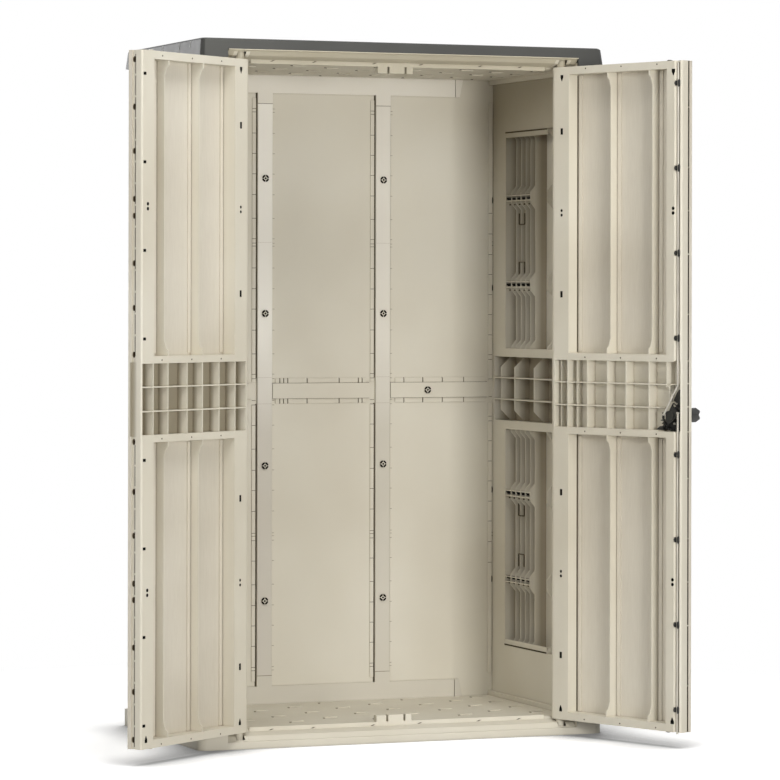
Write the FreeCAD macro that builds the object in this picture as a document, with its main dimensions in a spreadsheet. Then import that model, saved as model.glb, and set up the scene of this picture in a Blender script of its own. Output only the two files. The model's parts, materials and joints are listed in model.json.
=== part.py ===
import FreeCAD, Part

import math
import os
import re

import Sketcher
from FreeCAD import Placement, Rotation, Vector

# Garden storage cabinet of moulded resin panels, with two doors that stand open.
# Frame: +X to the right seen from the front, +Y to the back, +Z up, millimetres.
# The origin is the centre of the cabinet's footprint on the ground.

os.makedirs("parts", exist_ok=True)
doc = FreeCAD.newDocument("GardenCabinet")

# Driving sizes, each written once.
SIZES = {
    # whole cabinet
    "cabinet_width": 1120,
    "cabinet_depth": 619,
    "cabinet_height": 1800,
    # doors: bottom edge above the ground, and the three modules that stack up
    "door_foot": 41,
    "module_height": 763,
    "grid_height": 181,
    # pivots of the doors, measured from the cabinet's side and front
    "pivot_inset": 113.4,
    "pivot_setback": 25.5,
    "door_open_left": 144.2,
    "door_open_right": 111.3,
    # door section, measured from the pivot axis
    "door_reach": 445,
    "door_inner": 19.2,
    "door_outer": 21.8,
    "skin_plate": 3,
    "skin_lip": 10,
    "hinge_round": 19,
    "skin_round": 21.2,
    "stile_edge": 48,
    "free_stile": 50,
    "rail": 20,
    "mid_rail": 15,
    "fin_one": 188,
    "fin_two": 335,
    "fin_thick": 3,
    "fin_dip": 13,
    "fin_ramp": 38,
    "moulding_wall": 3,
    "bead_width": 12,
    "bead_rise": 2.5,
    "board_groove": 5,
    # holes in the stiles
    "hole_width": 9,
    "hole_height": 17,
    "hole_pitch": 213,
    "hole_end": 354,
    "hole_inset": 22,
    "hole_pair": 6,
    "square_hole": 8,
    "square_pitch": 216,
    "square_inset": 11,
    # free edge of each door
    "groove_width": 12,
    "groove_depth": 4,
    "slit_width": 5,
    "slit_depth": 10,
    # grid module of a door
    "grid_depth": 29,
    "grid_wall": 3,
    "cell_first": -1,
    "cell_strip": 8,
    "wall_one": 46,
    "wall_two": 116,
    "wall_three": 188,
    "wall_four": 254,
    "wall_five": 335,
    "wall_six": 397,
    # pivot pins
    "pin_radius": 7,
    "pin_reach": 17,
    "pin_tenon": 24,
    "pin_clearance": 0.2,
    "boss_radius": 11,
    "hinge_scoop": 22,
    "boss_gap": 1,
    "thrust_radius": 10.5,
    "thrust_play": 0.1,
    # floor and ceiling panels
    "deck_level": 45,
    "deck_plate": 5,
    "ceiling_plate": 16,
    "wall_rest": 57,
    "rim_inner": 485,
    "cove_front": 18,
    "cove_back": 38,
    "stop_plane": 46.5,
    "stop_width": 8,
    "stop_level": 49,
    "stop_half": 410,
    "corner_level": 39,
    "front_zone": 70.5,
    "underside_wall": 4,
    "strike_left": -62,
    "strike_right": 35,
    "strike_depth": 20,
    "strike_level": 66,
    "strike_slot": 6,
    "corner_round": 24,
    "back_corner_round": 4,
    "lintel_proud": 3,
    # roof cap
    "skirt_foot": 1752,
    "roof_shell": 4,
    "roof_overhang": 8,
    "roof_taper": 5,
    "roof_corner": 9,
    "roof_edge": 4,
    "roof_rib": 4,
    "lintel_gap": 1.5,
    # side walls
    "wall_inner": 497,
    "wall_outer": 548,
    "wall_plate": 3,
    "wall_front": 70.5,
    "wall_back": 281,
    "recess_front": -197,
    "recess_back": 193,
    "plain_height": 133,
    "rib_first": 155,
    "rib_pitch": 32,
    "rib_front": -86,
    "rib_thick": 2.5,
    "ledge_plate": 3,
    "ledge_gap": 11,
    "rib_ramp": 24,
    "rib_dip": 15,
    "ledge_low": 195,
    "ledge_high": 431,
    "divider_one": 222,
    "divider_two": 131,
    "divider_three": 0,
    "divider_four": -122,
    "divider_chamfer": 29,
    "wall_cell_depth": 44,
    # front posts
    "post_inner": 470,
    "post_front": 40.5,
    "post_nose": 16,
    "post_wall": 2.5,
    # back wall
    "back_plate": 4,
    "back_joint_left": -197,
    "back_joint_right": 146,
    "back_post_width": 43,
    "back_post_rise": 7,
    "post_bevel": 1.5,
    "back_strip": 10,
    "back_strip_rise": 3,
    "back_strip_gap": 4,
    "beam_height": 48,
    "beam_tab": 29,
    "beam_end": 380,
    "beam_block": 404,
    "beam_block_foot": 394,
    "seam": 1.2,
    "mid_rail_height": 41,
    "mid_rail_drop": 4,
    "mid_screw": 299,
    "back_screw_radius": 9,
    "back_screw_rise": 3,
    # latch on the right door
    "hub_reach": 405,
    "hub_level": 845.5,
    "rod_reach": 431,
    "rod_radius": 2.75,
    "rod_depth": 5,
    "rod_travel": 14,
    "rod_bend_level": 923,
    "upper_pin_side": -23,
    "upper_pin_rise": 2,
    "lower_pin_side": 26,
    "lower_pin_rise": 7,
    "rod_top_inset": 4,
    "rod_foot": 37,
    "channel_near": 422,
    "channel_far": 441,
    "channel_depth": 10,
    "cam_radius": 32.5,
    "cam_depth": 8.6,
    "cam_thick": 4,
    "cam_play": 0.65,
    "spindle_radius": 5,
    "spindle_play": 0.3,
    "handle_radius": 20.5,
    "handle_flange": 9,
    "handle_neck": 12,
    "handle_waist": 22,
    "handle_reach": 60,
    "clip_height": 12,
    "clip_jaw": 4.5,
    "latch_turn": 90,
}

# Heights and places that follow from the driving sizes.
DOOR_TOP = "(door_foot + 2 * module_height + grid_height)"
GRID_FOOT = "(door_foot + module_height)"
GRID_TOP = "(door_foot + module_height + grid_height)"
FRONT = "(-cabinet_depth / 2)"
BACK = "(cabinet_depth / 2)"
SIDE = "(cabinet_width / 2)"
PIVOT_X = "(cabinet_width / 2 - pivot_inset)"
PIVOT_Y = "(pivot_setback - cabinet_depth / 2)"
SKIN_SEAT = "(skin_plate - door_outer)"
STOP_Y = "(stop_plane - cabinet_depth / 2)"
ZONE_Y = "(front_zone - cabinet_depth / 2)"

LEFT, RIGHT = -1, 1
SIDE_NAMES = {LEFT: "left", RIGHT: "right"}
LEVEL_NAMES = ("lower", "upper")

sheet = doc.addObject("Spreadsheet::Sheet", "Sizes")
for row, (alias, number) in enumerate(SIZES.items(), start=1):
    sheet.set(f"A{row}", alias)
    sheet.set(f"B{row}", str(number))
    sheet.setAlias(f"B{row}", alias)
doc.recompute()


def formula(text):
    """A size formula with the sheet's name set before each alias."""
    def named(word):
        return "Sizes." + word.group() if word.group() in SIZES else word.group()
    return re.sub(r"[a-z_]+", named, str(text))


def value(text):
    """The number that a size formula gives now."""
    number = sheet.evalExpression(formula(text))
    return float(getattr(number, "Value", number))


def mirrored(height):
    """The height that lies as far below the doors' top as this one above their foot."""
    return f"({DOOR_TOP} + door_foot - ({height}))"


def outward(side, text):
    """An X that is measured outward on the left or the right."""
    return f"({side} * ({text}))"


def rect(x_low, x_high, y_low, y_high):
    return [(x_low, y_low), (x_high, y_low), (x_high, y_high), (x_low, y_high)]


def circle(x, y, radius):
    return {"x": x, "y": y, "radius": radius}


def ngon(x, y, radius, sides):
    """A regular polygon with its corners on a circle."""
    corners = []
    for i in range(sides):
        angle = 2 * math.pi * (i + 0.5) / sides
        corners.append((f"({x}) + ({radius}) * {math.cos(angle):.6f}",
                        f"({y}) + ({radius}) * {math.sin(angle):.6f}"))
    return corners


PLANES = {"XY": ("XY_Plane", 1), "XZ": ("XZ_Plane", -1), "YZ": ("YZ_Plane", 1)}


class Piece:
    """One piece as a body of padded and pocketed sketches, all bound to the sheet."""

    def __init__(self, label, several=False):
        self.label = label
        self.count = 0
        self.body = doc.addObject("PartDesign::Body", label)
        self.body.Label = label
        self.body.AllowCompound = several

    def origin(self, role):
        return next(f for f in self.body.Origin.OriginFeatures if f.Role == role)

    def name(self, word):
        self.count += 1
        return f"{self.label}_{word}_{self.count}"

    def sketch(self, plane, wires, start):
        role, sign = PLANES[plane]
        sketch = self.body.newObject("Sketcher::SketchObject", self.name("sketch"))
        sketch.AttachmentSupport = [(self.origin(role), "")]
        sketch.MapMode = "FlatFace"
        sketch.setExpression("AttachmentOffset.Base.z", formula(f"{sign} * ({start})"))
        for wire in wires:
            if isinstance(wire, dict):
                self.draw_circle(sketch, wire)
            else:
                self.draw_polygon(sketch, wire)
        return sketch

    def pin_point(self, sketch, line, end, point):
        for axis, text in zip(("DistanceX", "DistanceY"), point):
            datum = Sketcher.Constraint(axis, -1, 1, line, end, value(text))
            index = sketch.addConstraint(datum)
            sketch.setExpression(f"Constraints[{index}]", formula(text))

    def draw_polygon(self, sketch, points):
        first = sketch.GeometryCount
        count = len(points)
        corners = [Vector(value(x), value(y), 0) for x, y in points]
        for i in range(count):
            sketch.addGeometry(Part.LineSegment(corners[i], corners[(i + 1) % count]))
        for i in range(count):
            following = first + (i + 1) % count
            sketch.addConstraint(Sketcher.Constraint("Coincident", first + i, 2, following, 1))
            self.pin_point(sketch, first + i, 1, points[i])

    def draw_circle(self, sketch, wire):
        centre = Vector(value(wire["x"]), value(wire["y"]), 0)
        radius = value(wire["radius"])
        index = sketch.addGeometry(Part.Circle(centre, Vector(0, 0, 1), radius))
        self.pin_point(sketch, index, 3, (wire["x"], wire["y"]))
        datum = sketch.addConstraint(Sketcher.Constraint("Radius", index, radius))
        sketch.setExpression(f"Constraints[{datum}]", formula(wire["radius"]))

    def feature(self, kind, plane, wires, start, length, towards):
        made = self.body.newObject(f"PartDesign::{kind}", self.name(kind.lower()))
        made.Profile = self.sketch(plane, wires, start)
        sign = PLANES[plane][1] * towards
        made.Reversed = sign < 0 if kind == "Pad" else sign > 0
        made.setExpression("Length", formula(length))
        self.body.Tip = made
        doc.recompute()
        return made

    def pad(self, plane, wires, start, length, towards=1):
        """Adds a prism that starts at one height of the plane's axis and runs along it."""
        return self.feature("Pad", plane, wires, start, length, towards)

    def cut(self, plane, wires, start, length, towards=1):
        """Takes a prism away, and stops where it would take nothing."""
        before = self.body.Shape.Volume
        made = self.feature("Pocket", plane, wires, start, length, towards)
        if self.body.Shape.Volume > before - 1e-3:
            raise RuntimeError(f"{made.Name} cuts nothing")
        return made

    def repeat(self, feature, axis, length, count):
        pattern = self.body.newObject("PartDesign::LinearPattern", self.name("pattern"))
        pattern.Originals = [feature]
        pattern.Direction = (self.origin(axis), [""])
        pattern.setExpression("Length", formula(length))
        pattern.Occurrences = count
        self.body.Tip = pattern
        doc.recompute()
        return pattern

    def upright_edges(self, spots):
        """Names of the upright edges that stand at the given places."""
        names = []
        for x, y in spots:
            place = (value(x), value(y))
            for number, edge in enumerate(self.body.Shape.Edges, start=1):
                ends = [v.Point for v in edge.Vertexes]
                if len(ends) < 2 or abs(ends[0].z - ends[-1].z) < 1:
                    continue
                if all(math.dist(place, (p.x, p.y)) < 0.01 for p in ends):
                    names.append(f"Edge{number}")
        return names

    def round_uprights(self, spots, radius, kind="Fillet"):
        base = (self.body.Tip, self.upright_edges(spots))
        made = self.body.newObject(f"PartDesign::{kind}", self.name(kind.lower()))
        made.Base = base
        made.setExpression("Radius" if kind == "Fillet" else "Size", formula(radius))
        self.body.Tip = made
        doc.recompute()
        return made


def hang_on_door(feature, side):
    """Moves a piece from the door's own frame to where the open door stands."""
    opening = "door_open_left" if side == LEFT else "door_open_right"
    feature.Placement = Placement(Vector(0, 0, 0), Rotation(Vector(0, 0, 1), 10))
    feature.setExpression("Placement.Base.x", formula(outward(side, PIVOT_X)))
    feature.setExpression("Placement.Base.y", formula(PIVOT_Y))
    feature.setExpression("Placement.Rotation.Angle", formula(f"{side} * {opening}"))


# Doors. In a door's own frame the pivot axis is at X = Y = 0, the door runs along X
# away from it (towards -X on the right door) and its inner face looks to +Y.

def along(side, text):
    """An X along the door, counted from the pivot axis to the free edge."""
    return f"({-side} * ({text}))"


def door_foot_of(level):
    return "door_foot" if level == 0 else GRID_TOP


def in_module(level, height):
    """A height in the lower module, or its mirror image in the upper one."""
    return f"(door_foot + {height})" if level == 0 else mirrored(f"door_foot + {height}")


def span_in_module(level, low, high):
    a, b = in_module(level, low), in_module(level, high)
    return (a, b) if level == 0 else (b, a)


def door_skin(side, level):
    """Outer skin: a shallow channel that wraps round the hinge side."""
    piece = Piece(f"{SIDE_NAMES[side]}_door_skin_{LEVEL_NAMES[level]}")
    plate_back = SKIN_SEAT
    lip_back = "(skin_lip - door_outer)"
    hinge = "-door_outer"
    foot = door_foot_of(level)
    outline = [
        (along(side, hinge), "-door_outer"),
        (along(side, "door_reach"), "-door_outer"),
        (along(side, "door_reach"), lip_back),
        (along(side, "door_reach - skin_plate"), lip_back),
        (along(side, "door_reach - skin_plate"), plate_back),
        (along(side, SKIN_SEAT), plate_back),
        (along(side, SKIN_SEAT), "0 * skin_plate"),
        (along(side, hinge), "0 * skin_plate"),
    ]
    piece.pad("XY", [outline], foot, "module_height")
    piece.round_uprights([(along(side, hinge), "-door_outer")], "skin_round")
    inner_corner = (along(side, SKIN_SEAT), plate_back)
    piece.round_uprights([inner_corner], "skin_round - skin_plate")
    feet = ("stile_edge", "fin_one", "fin_two")
    beads = [
        rect(along(side, f"{at} + 2"), along(side, f"{at} + 2 + bead_width"),
             f"{plate_back} - 0.5", f"{plate_back} + bead_rise")
        for at in feet
    ]
    piece.pad("XY", beads, f"{foot} + rail + 1", "module_height - 2 * rail - 2")
    grooves = [
        [(along(side, f"{at} + 2"), "-door_outer"),
         (along(side, f"{at} + 2 + board_groove"), "-door_outer"),
         (along(side, f"{at} + 2 + board_groove / 2"), "-door_outer + skin_plate / 2")]
        for at in feet
    ]
    piece.cut("XY", grooves, foot, "module_height")
    hang_on_door(piece.body, side)


def door_frame(side, level):
    """Inner frame of a door module: stiles, rails and two fins that dip between them."""
    piece = Piece(f"{SIDE_NAMES[side]}_door_frame_{LEVEL_NAMES[level]}")
    lip_back = "(skin_lip - door_outer)"
    foot = door_foot_of(level)
    outline = [
        (along(side, "-door_outer"), "0 * skin_plate"),
        (along(side, SKIN_SEAT), "0 * skin_plate"),
        (along(side, SKIN_SEAT), SKIN_SEAT),
        (along(side, "door_reach - skin_plate"), SKIN_SEAT),
        (along(side, "door_reach - skin_plate"), lip_back),
        (along(side, "door_reach"), lip_back),
        (along(side, "door_reach"), "door_inner"),
        (along(side, "-door_outer"), "door_inner"),
    ]
    piece.pad("XY", [outline], foot, "module_height")
    piece.round_uprights([(along(side, "-door_outer"), "door_inner")], "hinge_round")
    piece.round_uprights([(along(side, SKIN_SEAT), SKIN_SEAT)], "skin_round - skin_plate + 0.4")
    free_round = "5" if side == LEFT else "9"
    piece.round_uprights([(along(side, "door_reach"), "door_inner")], free_round)

    # three windows leave the two fins between them
    rails = ("rail", "mid_rail") if level == 0 else ("mid_rail", "rail")
    window_low, window_high = f"{foot} + {rails[0]}", f"{foot} + module_height - {rails[1]}"
    edges = [("stile_edge", "fin_one - fin_thick"), ("fin_one", "fin_two - fin_thick"),
             ("fin_two", "door_reach - free_stile")]
    windows = [rect(along(side, a), along(side, b), window_low, window_high) for a, b in edges]
    piece.cut("XZ", windows, SKIN_SEAT, "door_inner + door_outer", 1)

    # the fins stand lower between the rails, with a ramp at each end
    dip = [
        ("door_inner + 1", f"{window_low} + fin_ramp / 3"),
        ("door_inner - fin_dip / 2", f"{window_low} + fin_ramp / 2"),
        ("door_inner - fin_dip", f"{window_low} + fin_ramp"),
        ("door_inner - fin_dip", f"{window_high} - fin_ramp"),
        ("door_inner - fin_dip / 2", f"{window_high} - fin_ramp / 2"),
        ("door_inner + 1", f"{window_high} - fin_ramp / 3"),
    ]
    fins_start = along(side, "stile_edge + 5")
    piece.cut("YZ", [dip], fins_start, "fin_two - stile_edge", -side)

    # the stiles are hollow behind, with solid ends for the pivot pins
    hollow_low, hollow_high = f"{foot} + 2 * rail", f"{foot} + module_height - 2 * rail"
    hollow_top = "channel_near - moulding_wall"
    hollows = [
        rect(along(side, "moulding_wall - door_outer / 2"), along(side, "stile_edge - moulding_wall"),
             hollow_low, hollow_high),
        rect(along(side, "door_reach - free_stile + moulding_wall"), along(side, hollow_top),
             hollow_low, hollow_high),
    ]
    depth = f"door_inner - moulding_wall - ({SKIN_SEAT})"
    piece.cut("XZ", hollows, SKIN_SEAT, depth, 1)

    free_edge_of(piece, side, foot)
    stile_holes(piece, side, level)
    pin_socket(piece, side, level)
    hang_on_door(piece.body, side)


def free_edge_of(piece, side, foot, height="module_height"):
    """The left door's edge is grooved, and the right one has a slit and a rod channel."""
    lip_back = "(skin_lip - door_outer)"
    whole = height == "module_height"
    if side == LEFT:
        inset = "groove_depth" if whole else "grid_wall / 2"
        groove = rect(along(side, f"door_reach - {inset}"), along(side, "door_reach + 1"),
                      lip_back, f"{lip_back} + groove_width")
        piece.cut("XY", [groove], foot, height)
        return
    inset = "slit_depth" if whole else "grid_wall / 2"
    slit = rect(along(side, f"door_reach - {inset}"), along(side, "door_reach + 1"),
                lip_back, f"{lip_back} + slit_width")
    piece.cut("XY", [slit], foot, height)
    channel = rect(along(side, "channel_near"), along(side, "channel_far"),
                   "door_inner - channel_depth", "door_inner + 1")
    piece.cut("XY", [channel], foot, height)
    tab = rect(along(side, "door_reach - slit_depth + 1"), along(side, "door_reach - 0.5"),
               lip_back, f"{lip_back} + slit_width")
    if whole:
        first = piece.pad("XY", [tab], f"{foot} + square_pitch / 4", "4")
        piece.repeat(first, "Z_Axis", "3 * square_pitch", 4)


def stile_holes(piece, side, level):
    """Fixing holes: long ones down the hinge stile, square ones down the left free stile."""
    centre = "module_height / 2"
    face = "door_inner"
    depth = "moulding_wall + 4"
    x = along(side, "hole_inset")
    long_holes = []
    for spot in (f"{centre} - hole_pitch", f"{centre} + hole_pitch"):
        low, high = span_in_module(level, f"{spot} - hole_height / 2", f"{spot} + hole_height / 2")
        long_holes.append(rect(f"{x} - hole_width / 2", f"{x} + hole_width / 2", low, high))
    for shift in ("-hole_pair", "hole_pair"):
        at = in_module(level, f"{centre} + {shift}")
        long_holes.append(ngon(x, at, "hole_width / 2", 6))
    end = in_module(level, f"{centre} - hole_end")
    tip = in_module(level, f"{centre} - hole_end + hole_height * 0.6")
    blunt = in_module(level, f"{centre} - hole_end - hole_height * 0.4")
    long_holes.append([
        (f"{x} - hole_width * 0.6", blunt), (f"{x} + hole_width * 0.6", blunt),
        (f"{x} + hole_width * 0.6", end), (f"{x} + 1", tip), (f"{x} - 1", tip),
        (f"{x} - hole_width * 0.6", end),
    ])
    piece.cut("XZ", long_holes, face, depth, -1)
    if side == RIGHT:
        return
    squares = []
    for step in (-1.5, -0.5, 0.5, 1.5):
        low, high = span_in_module(level, f"{centre} + {step} * square_pitch - square_hole / 2",
                                   f"{centre} + {step} * square_pitch + square_hole / 2")
        squares.append(rect(along(side, "door_reach - square_inset - square_hole / 2"),
                            along(side, "door_reach - square_inset + square_hole / 2"), low, high))
    piece.cut("XZ", squares, face, depth, -1)


def pin_socket(piece, side, level):
    """Blind hole for the pivot pin's tenon, at the outer end of the module."""
    start = "door_foot" if level == 0 else DOOR_TOP
    hole = circle("0 * pin_radius", "0 * pin_radius", "pin_radius + pin_clearance")
    piece.cut("XY", [hole], start, "pin_tenon", 1 if level == 0 else -1)


GRID_WALLS = ("wall_one", "wall_two", "wall_three", "wall_four", "wall_five", "wall_six")


def door_grid(side):
    """Grid module: one block with three rows of deep cells between thin walls."""
    piece = Piece(f"{SIDE_NAMES[side]}_door_grid")
    block = rect(along(side, "-door_outer"), along(side, "door_reach"),
                 "-door_outer", "door_inner")
    piece.pad("XY", [block], GRID_FOOT, "grid_height")
    piece.round_uprights([(along(side, "-door_outer"), "door_inner")], "hinge_round")
    piece.round_uprights([(along(side, "-door_outer"), "-door_outer")], "skin_round")
    piece.round_uprights([(along(side, "door_reach"), "door_inner")],
                         "5" if side == LEFT else "9")
    half = "grid_wall / 2"
    starts = ["cell_first"] + [f"{wall} + {half}" for wall in GRID_WALLS]
    ends = [f"{wall} - {half}" for wall in GRID_WALLS] + ["door_reach - grid_wall"]
    pitch = "(grid_height - grid_wall) / 3"
    cell_foot = f"{GRID_FOOT} + grid_wall"
    row = [rect(along(side, a), along(side, b), cell_foot, f"{cell_foot} + {pitch} - grid_wall")
           for a, b in zip(starts, ends)]
    cells = piece.cut("XZ", row, "door_inner", "grid_depth", -1)
    piece.repeat(cells, "Z_Axis", f"2 * {pitch}", 3)
    # the boards' grooves run on behind the cells as narrow strips
    strips = []
    for wall in ("wall_two", "wall_four", "wall_five"):
        strips.append(rect(along(side, f"{wall} - grid_wall / 2 - cell_strip - 8"),
                           along(side, f"{wall} - grid_wall / 2 - 8"),
                           cell_foot, f"{GRID_TOP} - grid_wall"))
    piece.cut("XZ", strips, "door_inner - grid_depth", "5", -1)
    free_edge_of(piece, side, GRID_FOOT, "grid_height")
    if side == RIGHT:
        latch_recess(piece, side)
    hang_on_door(piece.body, side)


def latch_recess(piece, side):
    """Room for the latch: cells joined full depth, and walls notched for the rods."""
    room = rect(along(side, "hub_reach - cam_radius - 6"), along(side, "door_reach - grid_wall"),
                f"{GRID_FOOT} - 1", "hub_level + cam_radius + 2")
    piece.cut("XZ", [room], "door_inner", "grid_depth", -1)
    notch = [
        (along(side, "channel_near - 4"), f"{GRID_TOP} - 1"),
        (along(side, "channel_far"), f"{GRID_TOP} - 1"),
        (along(side, "channel_far"), "hub_level"),
        (along(side, "hub_reach - cam_radius - 6"), "hub_level"),
        (along(side, "hub_reach - cam_radius - 6"), "hub_level + 2 * rod_travel"),
        (along(side, "channel_near - 4"), "rod_bend_level + 2 * rod_travel"),
    ]
    piece.cut("XZ", [notch], "door_inner", "channel_depth", -1)
    bore = circle(along(side, "hub_reach"), "hub_level", "spindle_radius + spindle_play")
    piece.cut("XZ", [bore], "-door_outer", "door_inner + door_outer", 1)


def pivot_pins(side):
    """Two stepped pins, each half in the door and half in the floor or ceiling panel."""
    piece = Piece(f"{SIDE_NAMES[side]}_door_pivot_pins", several=True)
    shaft = ngon("0 * pin_radius", "0 * pin_radius", "pin_radius", 12)
    piece.pad("XY", [shaft], "door_foot - pin_reach", "pin_reach + pin_tenon")
    piece.pad("XY", [shaft], f"{DOOR_TOP} - pin_tenon", "pin_reach + pin_tenon")
    collar = ngon("0 * pin_radius", "0 * pin_radius", "thrust_radius", 12)
    thick = "boss_gap - thrust_play"
    piece.pad("XY", [collar], f"door_foot - ({thick})", thick)
    piece.pad("XY", [collar], DOOR_TOP, thick)
    hang_on_door(piece.body, side)


# Floor and ceiling panels: one moulding used twice, the ceiling's turned over.

def deck_panel(ceiling):
    """Flat deck with a coved front edge, a door stop, strike blocks and pivot bosses."""
    piece = Piece("ceiling_panel" if ceiling else "floor_panel")

    def lift(height):
        return mirrored(height) if ceiling else f"({height})"

    def slab(wires, low, high):
        """Pads between two heights of the floor panel, or their mirror images."""
        start = lift(high) if ceiling else low
        return piece.pad("XY", wires, start, f"({high}) - ({low})")

    def pocket(wires, low, high):
        start = lift(high) if ceiling else low
        return piece.cut("XY", wires, start, f"({high}) - ({low})")

    half = "wall_outer" if ceiling else SIDE
    back = "(wall_back + back_plate)" if ceiling else BACK
    under = "deck_level - ceiling_plate" if ceiling else "0 * deck_level"
    front = f"({FRONT} - lintel_proud)" if ceiling else FRONT
    slab([rect(f"-{half}", half, ZONE_Y, back)], under, "deck_level")

    # the coved nosing in front of the deck, with the stop that the doors close on
    cove_edge = f"({STOP_Y} - 2)"
    nose_foot = "cove_front" if ceiling else "0 * cove_front"
    nose_base = f"({nose_foot} - 2)" if ceiling else nose_foot
    post_line = f"({FRONT} + post_front)"
    cove = [
        (front, lift(nose_base)), (front, lift("cove_front")),
        (f"({FRONT} + 5)", lift("cove_front + 2")),
        (f"({STOP_Y} - 30)", lift("cove_back - 7")),
        (f"({STOP_Y} - 12)", lift("cove_back - 1.5")),
        (cove_edge, lift("cove_back")), (cove_edge, lift(nose_base)),
    ]
    step = [
        (cove_edge, lift(nose_base)), (cove_edge, lift("cove_back")),
        (f"({STOP_Y} + 1)", lift("cove_back + 1")), (f"({STOP_Y} + stop_width)", lift("deck_level")),
        (ZONE_Y, lift("deck_level")), (ZONE_Y, lift(nose_base)),
    ]
    piece.pad("YZ", [step], "-post_inner", "2 * post_inner")
    piece.pad("YZ", [cove], "-rim_inner", "2 * rim_inner")
    slab([rect("-stop_half", "stop_half", STOP_Y, f"{STOP_Y} + stop_width")],
         "cove_back", "stop_level")
    # scoops that give the hinges room
    scoops = [rect(f"{outward(s, PIVOT_X)} - hinge_scoop", f"{outward(s, PIVOT_X)} + hinge_scoop",
                   f"({FRONT} + 7)", cove_edge) for s in (LEFT, RIGHT)]
    pocket(scoops, "cove_front + 2", "door_foot")

    # corner blocks below and above the front posts
    block_top = "corner_level"
    block_foot = "deck_level - ceiling_plate" if ceiling else "0 * corner_level"
    block_front = FRONT if not ceiling else f"({FRONT} + roof_shell + roof_taper + 1)"
    for side in (LEFT, RIGHT):
        corner = [
            (outward(side, "rim_inner - 1"), block_front), (outward(side, half), block_front),
            (outward(side, half), f"({ZONE_Y} + 1)"), (outward(side, "post_inner - 1"), f"({ZONE_Y} + 1)"),
            (outward(side, "post_inner - 1"), f"({post_line} - 1)"),
            (outward(side, "rim_inner - 1"), f"({post_line} - 1)"),
        ]
        slab([corner], block_foot, block_top)
        # rim that the side wall stands on
        slab([rect(outward(side, "rim_inner"), outward(side, "wall_outer"), ZONE_Y, "wall_back")],
             "deck_level - 1", "wall_rest")

    # strike blocks behind the stop, parted by two slots
    block = rect("strike_left", "strike_right", STOP_Y, f"{STOP_Y} + strike_depth")
    slab([block], "deck_level - 1", "strike_level")
    slots = [rect(f"{at} - strike_slot / 2", f"{at} + strike_slot / 2",
                  f"{STOP_Y} - 1", f"{STOP_Y} + strike_depth + 1")
             for at in (f"({PIVOT_X} - rod_reach)", "(strike_left + strike_right * 0.85)")]
    pocket(slots, "stop_level", "strike_level + 1")

    # pivot bosses with their bores, and the strike hole for the latch rod
    bosses = [ngon(outward(s, PIVOT_X), PIVOT_Y, "boss_radius", 12) for s in (LEFT, RIGHT)]
    slab(bosses, "cove_front + 1", "door_foot - boss_gap")
    bores = [circle(outward(s, PIVOT_X), PIVOT_Y, "pin_radius + pin_clearance")
             for s in (LEFT, RIGHT)]
    pocket(bores, "door_foot - pin_reach - 1", "door_foot")
    strike_y = f"({PIVOT_Y} + door_inner - rod_depth)"
    strike = circle(f"({PIVOT_X} - rod_reach)", strike_y, "rod_radius + 1.75")
    pocket([strike], "rod_foot - rod_travel - 3", "door_foot")

    hollow_cells(piece, under, lift)
    if not ceiling:
        piece.round_uprights([(outward(s, SIDE), FRONT) for s in (LEFT, RIGHT)], "corner_round")
        piece.round_uprights([(outward(s, SIDE), BACK) for s in (LEFT, RIGHT)],
                             "back_corner_round")


def hollow_cells(piece, under, lift):
    """Cells that hollow a panel from its hidden side, five across and two deep."""
    across, deep = 5, 2
    width = f"((cabinet_width - 2 * corner_round - underside_wall) / {across})"
    depth = f"(({BACK} - 2 * underside_wall - {ZONE_Y}) / {deep})"
    left = "(corner_round + underside_wall - cabinet_width / 2)"
    near = f"({ZONE_Y} + underside_wall)"
    for row in range(deep):
        low = f"{near} + {row} * {depth}"
        cells = [rect(f"{left} + {i} * {width}", f"{left} + {i + 1} * {width} - underside_wall",
                      low, f"{low} + {depth} - underside_wall") for i in range(across)]
        start = min(lift(under), lift("deck_level - deck_plate"), key=value)
        piece.cut("XY", cells, start, f"deck_level - deck_plate - ({under})")


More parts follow.
